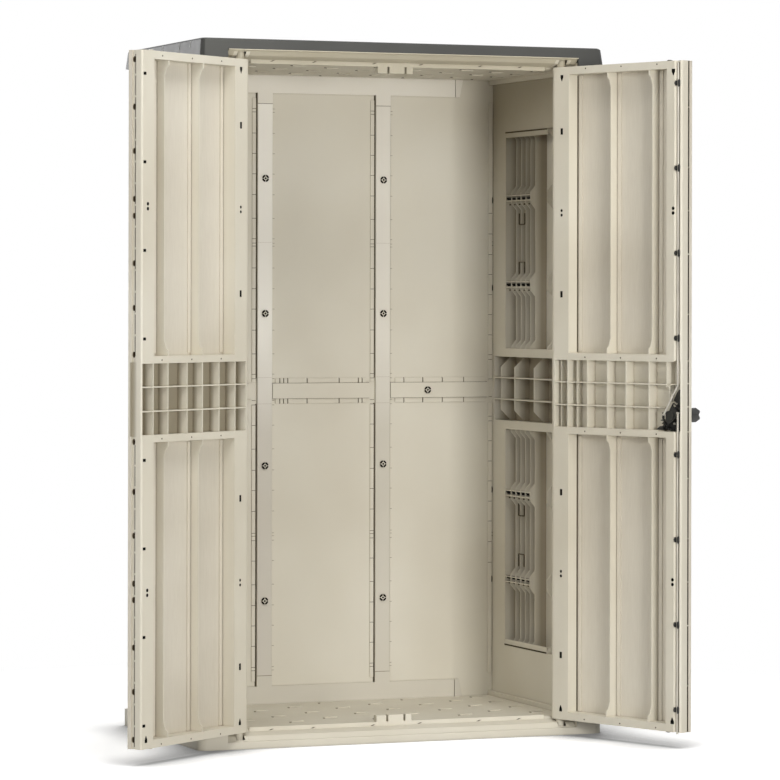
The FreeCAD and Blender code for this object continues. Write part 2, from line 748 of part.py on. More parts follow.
def roof_cap():
    """Dark cap: a tapered hood with chamfered corners, ribbed inside."""
    piece = Piece("roof_cap")
    side, front, back = SIDE, FRONT, f"({BACK} + roof_overhang)"
    foot = piece.sketch("XY", [chamfered_rect(side, front, back, "0")], "skirt_foot")
    top = piece.sketch("XY", [chamfered_rect(side, front, back, "roof_taper")],
                       "cabinet_height - roof_edge")
    hood = piece.body.newObject("PartDesign::AdditiveLoft", "roof_cap_hood")
    hood.Profile = foot
    hood.Sections = [top]
    hood.Ruled = True
    piece.body.Tip = hood
    doc.recompute()
    crown_foot = piece.sketch("XY", [chamfered_rect(side, front, back, "roof_taper")],
                              "cabinet_height - roof_edge")
    crown_top = piece.sketch("XY", [chamfered_rect(side, front, back, "roof_taper + roof_edge")],
                             "cabinet_height")
    crown = piece.body.newObject("PartDesign::AdditiveLoft", "roof_cap_crown")
    crown.Profile = crown_foot
    crown.Sections = [crown_top]
    crown.Ruled = True
    piece.body.Tip = crown
    doc.recompute()

    inset = "(roof_taper + roof_shell)"
    ceiling_top = mirrored("deck_level - ceiling_plate")
    mouth = rect(f"-({side} - {inset})", f"({side} - {inset})",
                 f"({front} + {inset})", f"({back} - {inset})")
    piece.cut("XY", [mouth], "skirt_foot", f"{ceiling_top} - skirt_foot")
    across, deep = 5, 3
    width = f"((cabinet_width - 2 * {inset} + roof_rib) / {across})"
    nose_back = f"({ZONE_Y} + roof_rib)"
    depth = f"(({back} - {inset} + roof_rib - {nose_back}) / {deep})"
    for row in range(deep):
        low = f"{nose_back} + {row} * {depth}"
        left = f"({inset} - {side})"
        cells = [rect(f"{left} + {i} * {width}", f"{left} + {i + 1} * {width} - roof_rib",
                      low, f"{low} + {depth} - roof_rib") for i in range(across)]
        piece.cut("XY", cells, ceiling_top, f"cabinet_height - roof_shell - {ceiling_top}")
    # the hood makes way for the lintel, and for what stands behind it
    lintel_top = mirrored("cove_front - 2")
    reach = f"{ZONE_Y} + 1 - ({front})"
    notch = rect("-(rim_inner + lintel_gap)", "rim_inner + lintel_gap",
                 "skirt_foot - 1", f"{lintel_top} + lintel_gap / 3")
    piece.cut("XZ", [notch], f"{front} - 1", f"{reach} + 1", 1)
    over = rect(f"-({side} - {inset})", f"({side} - {inset})", f"({front} + {inset})", nose_back)
    piece.cut("XY", [over], f"{lintel_top} + lintel_gap / 3",
              f"cabinet_height - roof_shell - {lintel_top} - lintel_gap / 3")


def chamfered_rect(half, front, back, inset):
    """The cap's outline with its four corners cut off, drawn in by an inset."""
    a, f, b = f"({half} - ({inset}))", f"({front} + ({inset}))", f"({back} - ({inset}))"
    c = "roof_corner"
    return [
        (f"{c} - {a}", f), (f"{a} - {c}", f), (a, f"{f} + {c}"), (a, f"{b} - {c}"),
        (f"{a} - {c}", b), (f"{c} - {a}", b), (f"-{a}", f"{b} - {c}"), (f"-{a}", f"{f} + {c}"),
    ]


# Side walls: two ribbed panels with a grid between them, and an outer skin on each panel.

def wall_span(level):
    low, high = "wall_rest", GRID_FOOT
    return (low, high) if level == 0 else (mirrored(high), mirrored(low))


def in_wall(level, height):
    return f"(wall_rest + {height})" if level == 0 else mirrored(f"wall_rest + {height}")


def wall_panel(side, level):
    """Ribbed wall panel: a plain end, and a recess with fine upright ribs and two ledges."""
    piece = Piece(f"{SIDE_NAMES[side]}_wall_panel_{LEVEL_NAMES[level]}")
    low, high = wall_span(level)
    inner = outward(side, "wall_inner")
    thick = "wall_outer - wall_plate - wall_inner"
    front = f"({FRONT} + wall_front)"
    piece.pad("YZ", [rect(front, "wall_back", low, high)], inner, thick, side)
    span = f"({GRID_FOOT} - wall_rest)"

    def band(a, b):
        first, last = in_wall(level, a), in_wall(level, b)
        return (first, last) if level == 0 else (last, first)

    window_low, window_high = band("plain_height", f"{span} - rail")
    ribs = [f"rib_first - {i} * rib_pitch" for i in range(5)]
    rib_zone = "rib_first - 4 * rib_pitch - rib_thick"
    edges = ["recess_back"] + ribs + ["rib_front"]
    bays = []
    for upper, lower in zip(edges, edges[1:] + ["recess_front"]):
        start = upper if upper == "recess_back" else f"{upper} - rib_thick"
        bays.append(rect(lower, start, window_low, window_high))
    piece.cut("YZ", bays, inner, thick, side)
    # pairs of thin ledges cross the ribs, which stand back from the face between them
    ledge_wires = []
    marks = [(window_low, window_low)]
    for at in ("ledge_high", "ledge_low") if level == 0 else ("ledge_low", "ledge_high"):
        a, b = band(f"{span} - {at} - ledge_gap / 2 - ledge_plate",
                    f"{span} - {at} + ledge_gap / 2 + ledge_plate")
        marks.append((a, b))
        ledge_wires.append(rect(rib_zone, "recess_back + 1", a, f"{a} + ledge_plate"))
        ledge_wires.append(rect(rib_zone, "recess_back + 1", f"{b} - ledge_plate", b))
    marks.append((window_high, window_high))
    dips = []
    for (_, low_end), (high_end, _) in zip(marks, marks[1:]):
        dips.append((low_end, high_end))
    wires = [[
        (inner, f"{a} + rib_ramp / 4"),
        (outward(side, "wall_inner + rib_dip"), f"{a} + rib_ramp"),
        (outward(side, "wall_inner + rib_dip"), f"{b} - rib_ramp"),
        (inner, f"{b} - rib_ramp / 4"),
    ] for a, b in dips]
    piece.cut("XZ", wires, "recess_front + 2", "recess_back - recess_front - 4", 1)
    piece.pad("YZ", ledge_wires, outward(side, "wall_inner + 1"), "rib_dip + 12", side)
    # the plain end is hollow behind
    hollow_low, hollow_high = band("moulding_wall * 2", "plain_height - moulding_wall * 2")
    back_face = outward(side, "wall_outer - wall_plate")
    middle = "((recess_front + recess_back) / 2)"
    hollows = [
        rect(f"{front} + moulding_wall * 2", f"{middle} - 40", hollow_low, hollow_high),
        rect(f"{middle} - 30", f"{middle} + 100", hollow_low, hollow_high),
        rect(f"{middle} + 110", "wall_back - moulding_wall * 2", hollow_low, hollow_high),
    ]
    piece.cut("YZ", hollows, back_face, f"{thick} - moulding_wall", -side)
    stile_low, stile_high = band("plain_height + 6", f"{span} - rail")
    stiles = [
        rect("recess_back + moulding_wall * 2", "wall_back - moulding_wall * 2",
             stile_low, stile_high),
        rect(f"{front} + moulding_wall * 2", "recess_front - moulding_wall * 2",
             stile_low, stile_high),
    ]
    piece.cut("YZ", stiles, back_face, f"{thick} - moulding_wall", -side)


def wall_skin(side, level):
    """Plain outer skin of a wall panel, grooved like boards."""
    piece = Piece(f"{SIDE_NAMES[side]}_wall_skin_{LEVEL_NAMES[level]}")
    low, high = wall_span(level)
    front = f"({FRONT} + wall_front)"
    outer = outward(side, "wall_outer")
    inner = outward(side, "wall_outer - wall_plate")
    piece.pad("YZ", [rect(front, "wall_back + back_plate", low, high)], inner, "wall_plate", side)
    depth_inner = outward(side, "wall_outer - wall_plate / 2")
    grooves = []
    for at in ("recess_front", "rib_front / 2", "rib_first / 2", "recess_back"):
        grooves.append([(outer, f"{at} - board_groove / 2"), (outer, f"{at} + board_groove / 2"),
                        (depth_inner, at)])
    piece.cut("XY", grooves, low, f"{GRID_FOOT} - wall_rest")


def wall_grid(side):
    """Grid of a side wall: three rows of cells, with dividers cut back at the corners."""
    piece = Piece(f"{SIDE_NAMES[side]}_wall_grid")
    inner = outward(side, "wall_inner")
    front = f"({FRONT} + wall_front)"
    piece.pad("YZ", [rect(front, "wall_back", GRID_FOOT, GRID_TOP)], inner,
              "wall_outer - wall_inner", side)
    half = "grid_wall / 2"
    dividers = ["divider_one", "divider_two", "divider_three", "divider_four"]
    starts = ["wall_back - back_strip - grid_wall"] + [f"{d} - {half}" for d in dividers]
    ends = [f"{d} + {half}" for d in dividers] + ["recess_front"]
    pitch = "(grid_height - grid_wall) / 3"
    foot = f"{GRID_FOOT} + grid_wall"
    row = [rect(b, a, foot, f"{foot} + {pitch} - grid_wall") for a, b in zip(starts, ends)]
    cells = piece.cut("YZ", row, inner, "wall_cell_depth", side)
    piece.repeat(cells, "Z_Axis", f"2 * {pitch}", 3)
    corner = outward(side, "wall_inner + divider_chamfer")
    bevels = [
        [(inner, f"{foot}"), (corner, f"{foot}"), (inner, f"{foot} + divider_chamfer")],
        [(inner, f"{GRID_TOP} - grid_wall"), (corner, f"{GRID_TOP} - grid_wall"),
         (inner, f"{GRID_TOP} - grid_wall - divider_chamfer")],
    ]
    piece.cut("XZ", bevels, "recess_front + grid_wall",
              "wall_back - back_strip - grid_wall - recess_front - 2 * grid_wall", 1)


def front_post(side):
    """Hollow post beside each door, bevelled so that the open door clears it."""
    piece = Piece(f"{SIDE_NAMES[side]}_front_post")
    foot, top = "corner_level", mirrored("corner_level")

    def outline(wall):
        return [
            (outward(side, f"post_inner + {wall}"), f"({FRONT} + post_front + {wall} * 1.5)"),
            (outward(side, f"post_inner + {wall}"), f"({ZONE_Y} - {wall})"),
            (outward(side, f"wall_outer - {wall}"), f"({ZONE_Y} - {wall})"),
            (outward(side, f"wall_outer - {wall}"), f"({FRONT} + 2.5 + {wall})"),
            (outward(side, f"wall_outer - post_nose + {wall} / 2"), f"({FRONT} + 2.5 + {wall})"),
        ]
    piece.pad("XY", [outline("0"), outline("post_wall")], foot, f"{top} - {foot}")


# Back wall: three bays in two storeys, with posts and a middle rail over their joints.

BAY_NAMES = ("left", "centre", "right")
STOREY_JOINT = "(door_foot + module_height + grid_height / 2)"


def back_panel(bay, level):
    """Back panel: a plate with a raised strip beside its joint."""
    piece = Piece(f"back_panel_{BAY_NAMES[bay]}_{LEVEL_NAMES[level]}")
    joints = ["-wall_outer + wall_plate", "back_joint_left", "back_joint_right",
              "wall_outer - wall_plate"]
    left, right = joints[bay], joints[bay + 1]
    low = "deck_level" if level == 0 else STOREY_JOINT
    high = STOREY_JOINT if level == 0 else mirrored("deck_level")
    face = "wall_back"
    piece.pad("XZ", [rect(left, right, low, high)], face, "back_plate", 1)
    inner_right = "wall_inner" if bay == 2 else right
    # strip beside the joint
    strip_low = f"({low} + beam_height + 14)" if level == 0 else f"({low} + mid_rail_height / 2)"
    strip_high = f"({high} - mid_rail_height)" if level == 0 else f"({high} - beam_height - 14)"
    strip = rect(f"{inner_right} - back_strip - back_strip_gap",
                 f"{inner_right} - back_strip_gap", strip_low, strip_high)
    piece.pad("XZ", [strip], face, "back_strip_rise", -1)


def back_post(number):
    """Upright cover strip over a joint of the back panels, between the two beams."""
    piece = Piece(f"back_post_{BAY_NAMES[0] if number == 0 else BAY_NAMES[2]}")
    joint = "back_joint_left" if number == 0 else "back_joint_right"
    foot = "(deck_level + beam_height + beam_tab)"
    top = mirrored(foot)
    face = "wall_back - back_post_rise"
    outline = rect(joint, f"{joint} + back_post_width", face, "wall_back")
    piece.pad("XY", [outline], foot, f"{top} - {foot}")
    piece.round_uprights([(joint, face), (f"{joint} + back_post_width", face)], "post_bevel",
                         "Chamfer")
    middle = STOREY_JOINT
    seams = [f"({middle} - 39)", f"({middle} + 32)", f"({middle} + 397)"]
    cuts = [rect(f"{joint} - 1", f"{joint} + back_post_width + 1", at, f"{at} + seam")
            for at in seams]
    piece.cut("XZ", cuts, face, "seam", 1)


def back_beam(level):
    """Beam along the floor or the ceiling, with a tab that meets each post."""
    piece = Piece("back_beam_bottom" if level == 0 else "back_beam_top", several=True)

    def lift(height):
        return f"({height})" if level == 0 else mirrored(height)

    foot, top = "deck_level", "deck_level + beam_height"
    tab = f"{top} + beam_tab"
    bar = [("-rim_inner", lift(foot)), ("beam_end", lift(foot)), ("beam_end", lift(top))]
    for joint in ("back_joint_right", "back_joint_left"):
        bar += [(f"{joint} + back_post_width", lift(top)), (f"{joint} + back_post_width", lift(tab)),
                (joint, lift(tab)), (joint, lift(top))]
    bar.append(("-rim_inner", lift(top)))
    block = [("beam_end + 2", lift(foot)), ("beam_block", lift(foot)),
             ("beam_block_foot", lift(top)), ("beam_end + 2", lift(top))]
    piece.pad("XZ", [bar, block], "wall_back", "back_post_rise", -1)


def back_mid_rail():
    """Level rail over the joint of the two storeys, in three lengths between the posts."""
    piece = Piece("back_mid_rail", several=True)
    starts = ["-wall_inner", "back_joint_left + back_post_width", "back_joint_right + back_post_width"]
    ends = ["back_joint_left", "back_joint_right", "wall_inner"]
    middle = STOREY_JOINT
    for start, end in zip(starts, ends):
        a, b = f"({start} + 1)", f"({end} - back_strip - back_strip_gap - 1)"
        bar = rect(a, b, f"{middle} - mid_rail_height / 2 - mid_rail_drop",
                   f"{middle} + mid_rail_height / 2 - mid_rail_drop")
        piece.pad("XZ", [bar], "wall_back", "back_post_rise", -1)


def back_screws():
    """Broad plastic screws in the back posts and the middle rail."""
    piece = Piece("back_screws", several=True)
    face = "(wall_back - back_post_rise)"
    heads = []
    for joint in ("back_joint_left", "back_joint_right"):
        x = f"({joint} + back_post_width / 2)"
        for height in (f"{GRID_TOP} + 115", f"{GRID_TOP} + 480"):
            heads.append(ngon(x, height, "back_screw_radius", 10))
            heads.append(ngon(x, mirrored(height), "back_screw_radius", 10))
    heads.append(ngon("mid_screw", f"{STOREY_JOINT} - mid_rail_drop", "back_screw_radius", 10))
    piece.pad("XZ", heads, face, "back_screw_rise", -1)


# Latch on the right door: handle, spindle, cam and the two rods that it drives.

def slot_path(side_offset, rise, direction):
    """Places that a rod's pin takes in the cam while the cam turns by the latch's angle."""
    turn, travel = value("latch_turn"), value("rod_travel")
    steps = 8
    points = []
    for i in range(steps + 1):
        share = i / steps
        a = math.radians(share * turn)
        x = value(side_offset)
        z = value(rise) + direction * share * travel
        points.append((x * math.cos(a) - z * math.sin(a), x * math.sin(a) + z * math.cos(a)))
    return points


def door_point(x, depth, z):
    """A point of the right door's frame: reach from the pivot, depth below the face, height."""
    return Vector(-x, value("door_inner") - depth, z)


def latch_cam():
    """Two-lobed plate with a curved slot in each lobe: one pushes a rod up, one pulls it down."""
    hub = (value("hub_reach"), value("hub_level"))
    top, thick = value("cam_depth"), value("cam_thick")

    def plate(points, depth, length):
        wire = Part.makePolygon([door_point(x, depth, z) for x, z in points + points[:1]])
        return Part.Face(wire).extrude(Vector(0, -length, 0))

    radius, waist = value("cam_radius"), value("spindle_radius") + 9
    outline = []
    for lobe in (8, 168):
        for step in range(7):
            angle = math.radians(lobe + 12 * step)
            reach = radius if step % 2 == 0 else radius - 1.2
            outline.append((hub[0] + reach * math.cos(angle), hub[1] + reach * math.sin(angle)))
        angle = math.radians(lobe + 115)
        outline.append((hub[0] + waist * math.cos(angle), hub[1] + waist * math.sin(angle)))
    body = plate(outline, top, thick)
    half_width = value("rod_radius + cam_play")
    for path in (slot_path("upper_pin_side", "upper_pin_rise", 1),
                 slot_path("lower_pin_side", "lower_pin_rise", -1)):
        left, right = [], []
        last = len(path) - 1
        for i, (x, z) in enumerate(path):
            before, after = path[max(i - 1, 0)], path[min(i + 1, last)]
            along_x, along_z = after[0] - before[0], after[1] - before[1]
            size = math.hypot(along_x, along_z)
            ahead = (along_x / size * half_width, along_z / size * half_width)
            centre = (hub[0] + x, hub[1] + z)
            across = (-ahead[1], ahead[0])
            if i == 0:
                left.append((centre[0] - ahead[0] + across[0] / 2, centre[1] - ahead[1] + across[1] / 2))
                right.append((centre[0] - ahead[0] - across[0] / 2, centre[1] - ahead[1] - across[1] / 2))
            left.append((centre[0] + across[0], centre[1] + across[1]))
            right.append((centre[0] - across[0], centre[1] - across[1]))
            if i == last:
                left.append((centre[0] + ahead[0] + across[0] / 2, centre[1] + ahead[1] + across[1] / 2))
                right.append((centre[0] + ahead[0] - across[0] / 2, centre[1] + ahead[1] - across[1] / 2))
        body = body.cut(plate(left + right[::-1], top - 1, thick + 2))
    rim = [(hub[0] + waist * 0.7 * math.cos(math.pi * i / 6),
            hub[1] + waist * 0.7 * math.sin(math.pi * i / 6)) for i in range(12)]
    boss = plate(rim, top - 3, 4)
    made = doc.addObject("Part::Feature", "latch_cam")
    made.Label = "latch_cam"
    made.Shape = body.fuse(boss).removeSplitter()
    hang_on_door(made, RIGHT)


def latch_rod(label, route, pin):
    """Bent steel rod: runs joined by small arcs, ending in a pin that enters the cam."""
    radius = value("rod_radius")
    bend = 3 * radius
    edges = []
    start = route[0]
    for i in range(1, len(route) - 1):
        corner = route[i]
        before = (corner - route[i - 1]).normalize()
        after = (route[i + 1] - corner).normalize()
        half = before.getAngle(after) / 2
        trim = bend * math.tan(half)
        a, b = corner - before * trim, corner + after * trim
        middle = corner + (after - before).normalize() * bend * (1 / math.cos(half) - 1)
        edges.append(Part.LineSegment(start, a).toShape())
        edges.append(Part.Arc(a, middle, b).toShape())
        start = b
    edges.append(Part.LineSegment(start, route[-1]).toShape())
    spine = Part.Wire(edges)
    run = (route[1] - route[0]).normalize()
    across = run.cross(Vector(0, 1, 0)).normalize()
    corners = []
    for i in range(11):
        angle = 2 * math.pi * i / 10
        corners.append(route[0] + (across * math.cos(angle) + Vector(0, 1, 0) * math.sin(angle)) * radius)
    solid = spine.makePipeShell([Part.makePolygon(corners)], True, False)
    high = pin + Vector(0, radius, 0)
    rim = [high + Vector(math.cos(math.pi * i / 5), 0, math.sin(math.pi * i / 5)) * radius
           for i in range(11)]
    length = value("cam_depth + cam_thick - rod_depth") + radius
    hook = Part.Face(Part.makePolygon(rim)).extrude(Vector(0, -length, 0))
    made = doc.addObject("Part::Feature", label)
    made.Label = label
    made.Shape = solid.fuse(hook).removeSplitter()
    hang_on_door(made, RIGHT)


def latch_rods():
    depth = value("rod_depth")
    reach, hub, level = value("rod_reach"), value("hub_reach"), value("hub_level")
    top = value(f"{DOOR_TOP} - rod_top_inset")
    upper_pin = door_point(hub + value("upper_pin_side"), depth, level + value("upper_pin_rise"))
    bend = door_point(reach, depth, value("rod_bend_level"))
    latch_rod("latch_rod_upper", [door_point(reach, depth, top), bend, upper_pin], upper_pin)
    lower_pin = door_point(hub + value("lower_pin_side"), depth, level + value("lower_pin_rise"))
    lower_foot = door_point(hub + value("lower_pin_side"), depth, value("rod_foot"))
    latch_rod("latch_rod_lower", [lower_foot, lower_pin], lower_pin)


def latch_handle():
    """Outer knob: a round flange, a neck, and a waisted grip with bevelled ends."""
    piece = Piece("latch_handle")
    x, z = along(RIGHT, "hub_reach"), "hub_level"
    back = "-door_outer - spindle_play"
    piece.pad("XZ", [ngon(x, z, "handle_radius", 20)], back, "handle_flange", -1)
    piece.pad("XZ", [ngon(x, z, "handle_radius * 0.62", 12)], f"{back} - handle_flange",
              "handle_neck", -1)
    r, waist = "handle_radius", "handle_waist / 2"
    grip = [
        (f"{x} - {waist}", f"{z} - {r} * 0.9"), (f"{x} + {waist}", f"{z} - {r} * 0.9"),
        (f"{x} + {r} * 0.8", f"{z} - {r} * 0.55"), (f"{x} + {waist} * 0.9", z),
        (f"{x} + {r} * 0.8", f"{z} + {r} * 0.55"), (f"{x} + {waist}", f"{z} + {r} * 0.9"),
        (f"{x} - {waist}", f"{z} + {r} * 0.9"), (f"{x} - {r} * 0.8", f"{z} + {r} * 0.55"),
        (f"{x} - {waist} * 0.9", z), (f"{x} - {r} * 0.8", f"{z} - {r} * 0.55"),
    ]
    piece.pad("XZ", [grip], f"{back} - handle_flange - handle_neck",
              "handle_reach - handle_flange - handle_neck", -1)
    low = f"({back} - handle_reach)"
    bevels = [
        [(f"{low} - 1", f"{z} + {r}"), (f"{low} + 15", f"{z} + {r}"), (f"{low} - 1", f"{z} + {r} * 0.35")],
        [(f"{low} - 1", f"{z} - {r}"), (f"{low} + 15", f"{z} - {r}"), (f"{low} - 1", f"{z} - {r} * 0.35")],
    ]
    piece.cut("YZ", bevels, f"{x} - 30", "60")
    hang_on_door(piece.body, RIGHT)


def latch_spindle():
    piece = Piece("latch_spindle")
    rod = ngon(along(RIGHT, "hub_reach"), "hub_level", "spindle_radius", 16)
    piece.pad("XZ", [rod], "-door_outer - spindle_play",
              "door_outer + spindle_play + door_inner - cam_depth - cam_thick", 1)
    hang_on_door(piece.body, RIGHT)


def latch_housing():
    """Black bracket behind the cam: a plate with a foot, a collar and an arm up the stile."""
    piece = Piece("latch_housing")
    floor = "(door_inner - grid_depth)"
    x, z = "hub_reach", "hub_level"
    edge = "door_reach - grid_wall - 1"
    low = f"{GRID_FOOT} + grid_wall + 0.5"
    base = [
        (along(RIGHT, f"{x} - 54"), low), (along(RIGHT, edge), low),
        (along(RIGHT, edge), f"{z} + 59"), (along(RIGHT, f"{x} + 24"), f"{z} + 59"),
        (along(RIGHT, f"{x} + 5"), f"{z} + 25"), (along(RIGHT, f"{x} - 26"), f"{z} + 6"),
        (along(RIGHT, f"{x} - 36"), f"{z} - 19"),
    ]
    piece.pad("XZ", [base], floor, "5", 1)
    under_rod = "grid_depth - rod_depth - rod_radius - 1"
    arm = [
        (along(RIGHT, edge), f"{z} + 59"), (along(RIGHT, f"{x} + 24"), f"{z} + 59"),
        (along(RIGHT, f"{x} + 13"), f"{z} + 37"), (along(RIGHT, f"{x} + 18"), f"{z} + 34"),
        (along(RIGHT, edge), f"{z} + 27"),
    ]
    piece.pad("XZ", [arm], floor, under_rod, 1)
    foot = [
        (along(RIGHT, f"{x} - 53"), f"{low} + 0.5"), (along(RIGHT, f"{x} - 30"), f"{low} + 0.5"),
        (along(RIGHT, f"{x} - 33"), f"{low} + 10"), (along(RIGHT, f"{x} - 39"), f"{low} + 10"),
    ]
    piece.pad("XZ", [foot], floor, under_rod, 1)
    collar = ngon(along(RIGHT, x), z, "spindle_radius + 6", 12)
    piece.pad("XZ", [collar], floor, "grid_depth - cam_depth - cam_thick - 0.6", 1)
    bore = circle(along(RIGHT, x), z, "spindle_radius + spindle_play")
    piece.cut("XZ", [bore], f"{floor} - 1", "grid_depth", 1)
    hang_on_door(piece.body, RIGHT)


def rod_clips():
    """Eight open clips in the rod channel, four in each door module."""
    piece = Piece("rod_clips", several=True)
    gap = "(rod_radius + cam_play)"
    x = "rod_reach"
    floor = "(door_inner - channel_depth)"
    saddle = "(door_inner - rod_depth - rod_radius - 0.5)"
    outline = [
        (along(RIGHT, f"{x} - {gap} - clip_jaw"), floor),
        (along(RIGHT, f"{x} + {gap} + clip_jaw"), floor),
        (along(RIGHT, f"{x} + {gap} + clip_jaw"), "door_inner + 1"),
        (along(RIGHT, f"{x} + {gap}"), "door_inner + 1"),
        (along(RIGHT, f"{x} + {gap}"), saddle),
        (along(RIGHT, f"{x} - {gap}"), saddle),
        (along(RIGHT, f"{x} - {gap}"), "door_inner - 1"),
        (along(RIGHT, f"{x} - {gap} - clip_jaw"), "door_inner - 1"),
    ]
    for level in (0, 1):
        lowest = f"{door_foot_of(level)} + module_height / 2 - 1.5 * square_pitch - clip_height / 2"
        first = piece.pad("XY", [outline], lowest, "clip_height")
        piece.repeat(first, "Z_Axis", "3 * square_pitch", 4)
    hang_on_door(piece.body, RIGHT)


def door_nibs(side):
    """Small stops on the top and bottom edges of a door, near its free stile."""
    piece = Piece(f"{SIDE_NAMES[side]}_door_nibs", several=True)
    at = "door_reach - free_stile + 4"
    for level in (0, 1):
        start = "door_foot" if level == 0 else DOOR_TOP
        tip = "(door_foot - 2.5)" if level == 0 else f"({DOOR_TOP} + 2.5)"
        nib = [
            (along(side, f"{at} - 9"), start), (along(side, f"{at} + 9"), start),
            (along(side, f"{at} + 3"), tip), (along(side, f"{at} - 3"), tip),
        ]
        piece.pad("XZ", [nib], "door_inner - 11", "7", 1)
    hang_on_door(piece.body, side)


for level in (0, 1):
    for side in (LEFT, RIGHT):
        door_skin(side, level)
        door_frame(side, level)
        wall_panel(side, level)
        wall_skin(side, level)
    for bay in range(3):
        back_panel(bay, level)
for side in (LEFT, RIGHT):
    door_grid(side)
    pivot_pins(side)
    door_nibs(side)
    wall_grid(side)
    front_post(side)
deck_panel(ceiling=False)
deck_panel(ceiling=True)
roof_cap()
back_post(0)
back_post(1)
back_beam(0)
back_beam(1)
back_mid_rail()
back_screws()
latch_cam()
latch_rods()
latch_handle()
latch_spindle()
latch_housing()
rod_clips()

doc.recompute()
for item in doc.Objects:
    if "Invalid" in item.State or "Error" in item.State:
        raise RuntimeError(f"{item.Label} failed: {item.State}")

bodies = [o for o in doc.Objects if o.TypeId in ("PartDesign::Body", "Part::Feature")]
for item in bodies:
    if item.Shape.isNull() or not item.Shape.isValid() or not item.Shape.Solids:
        raise RuntimeError(f"{item.Label} has no sound shape")
for item in bodies:
    item.Shape.exportStep(f"parts/{item.Label}.step")
print(len(bodies), "sub-parts written")
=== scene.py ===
import json
import math

import bmesh
import bpy
from mathutils import Matrix, Vector


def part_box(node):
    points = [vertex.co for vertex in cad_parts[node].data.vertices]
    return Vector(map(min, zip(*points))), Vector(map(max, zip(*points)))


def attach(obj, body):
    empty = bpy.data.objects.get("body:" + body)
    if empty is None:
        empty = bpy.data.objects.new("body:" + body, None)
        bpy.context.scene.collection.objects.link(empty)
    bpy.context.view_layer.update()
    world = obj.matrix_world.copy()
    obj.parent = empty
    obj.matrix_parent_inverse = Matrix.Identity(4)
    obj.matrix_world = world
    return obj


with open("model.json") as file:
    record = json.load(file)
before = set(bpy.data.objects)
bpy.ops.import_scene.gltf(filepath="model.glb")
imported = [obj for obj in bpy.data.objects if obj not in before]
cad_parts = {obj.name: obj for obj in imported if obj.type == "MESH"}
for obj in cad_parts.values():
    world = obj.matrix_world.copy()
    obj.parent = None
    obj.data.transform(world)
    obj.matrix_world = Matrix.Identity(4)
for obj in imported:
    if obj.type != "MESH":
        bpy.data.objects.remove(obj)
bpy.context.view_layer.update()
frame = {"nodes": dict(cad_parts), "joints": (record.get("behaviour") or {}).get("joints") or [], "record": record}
NODES = frame["nodes"]
JOINTS = {joint["name"]: joint for joint in frame["joints"]}
LEFT, RIGHT = -1, 1
SIDE_NAMES = {LEFT: "left", RIGHT: "right"}
MM = 0.001


def face_of(node, axis, high):
    """A side of a CAD node's box, in millimetres."""
    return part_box(node)[high][axis] / MM


# Levels and planes of the cabinet, in millimetres, read from the frame.
DECK = face_of("back_panel_centre_lower", 2, 0)
DOOR_FOOT = face_of("left_door_frame_lower", 2, 0)
GRID_FOOT = face_of("left_door_grid", 2, 0)
GRID_TOP = face_of("left_door_grid", 2, 1)
DOOR_TOP = face_of("left_door_frame_upper", 2, 1)
MODULE = GRID_FOOT - DOOR_FOOT
WALL_BACK = face_of("back_post_left", 1, 1)
POST_FACE = face_of("back_post_left", 1, 0)
POST_WIDTH = face_of("back_post_left", 0, 1) - face_of("back_post_left", 0, 0)
JOINT_LEFT = face_of("back_post_left", 0, 0)
JOINT_RIGHT = face_of("back_post_right", 0, 0)
RAIL_LOW = face_of("back_mid_rail", 2, 0)
RAIL_HIGH = face_of("back_mid_rail", 2, 1)
WALL_INNER = face_of("right_wall_panel_lower", 0, 0)
WALL_OUTER = face_of("right_wall_grid", 0, 1)
BEAM_TOP = face_of("back_beam_bottom", 2, 1)
BACK_FACE = face_of("back_panel_centre_lower", 1, 1)
SCREW_FACE = face_of("back_screws", 1, 0)
ROOF_HALF = face_of("roof_cap", 0, 1)
FRONT = face_of("floor_panel", 1, 0)

# Doors, in millimetres. In a door's own frame the pivot axis is at the origin and the inner face
# looks to +Y. A reach is measured from the pivot along the door.
DOOR_FACE = 19.2
DOOR_REACH = 445
ROD_REACH = 431
QUARTERS = (-1.5, -0.5, 0.5, 1.5)
QUARTER_PITCH = 216


def door_place(side):
    """Where a door's own frame stands while the door is open."""
    joint = JOINTS[f"{SIDE_NAMES[side]}_door_hinge"]
    opening = max(abs(angle) for angle in joint["range_deg"])
    x, y, _ = joint["pos_m"]
    return Matrix.Translation((x, y, 0)) @ Matrix.Rotation(math.radians(side * opening), 4, "Z")


# Where the photograph was taken from, in metres and degrees.
CAMERA_PLACE = (-3.6735, -9.3853, 1.1527)
CAMERA_YAW = 21.789
CAMERA_ROLL = 0.11
PHOTO_SIZE = 780
FOCAL_PIXELS = 3802.7
HORIZON_ROW = 294.24
SENSOR = 36.0
VIEW_END = 60


def add_camera():
    data = bpy.data.cameras.new("camera")
    data.sensor_width = SENSOR
    data.lens = FOCAL_PIXELS / PHOTO_SIZE * SENSOR
    data.shift_y = (HORIZON_ROW - PHOTO_SIZE / 2) / PHOTO_SIZE
    data.clip_end = VIEW_END
    camera = bpy.data.objects.new("camera", data)
    bpy.context.scene.collection.objects.link(camera)
    turn = Matrix.Rotation(math.radians(-CAMERA_YAW), 4, "Z")
    up = Matrix.Rotation(math.radians(90), 4, "X")
    roll = Matrix.Rotation(math.radians(CAMERA_ROLL), 4, "Z")
    camera.matrix_world = Matrix.Translation(CAMERA_PLACE) @ turn @ up @ roll
    bpy.context.scene.camera = camera


CREVICE_SAMPLES = 6
WHITE = (1.0, 1.0, 1.0)


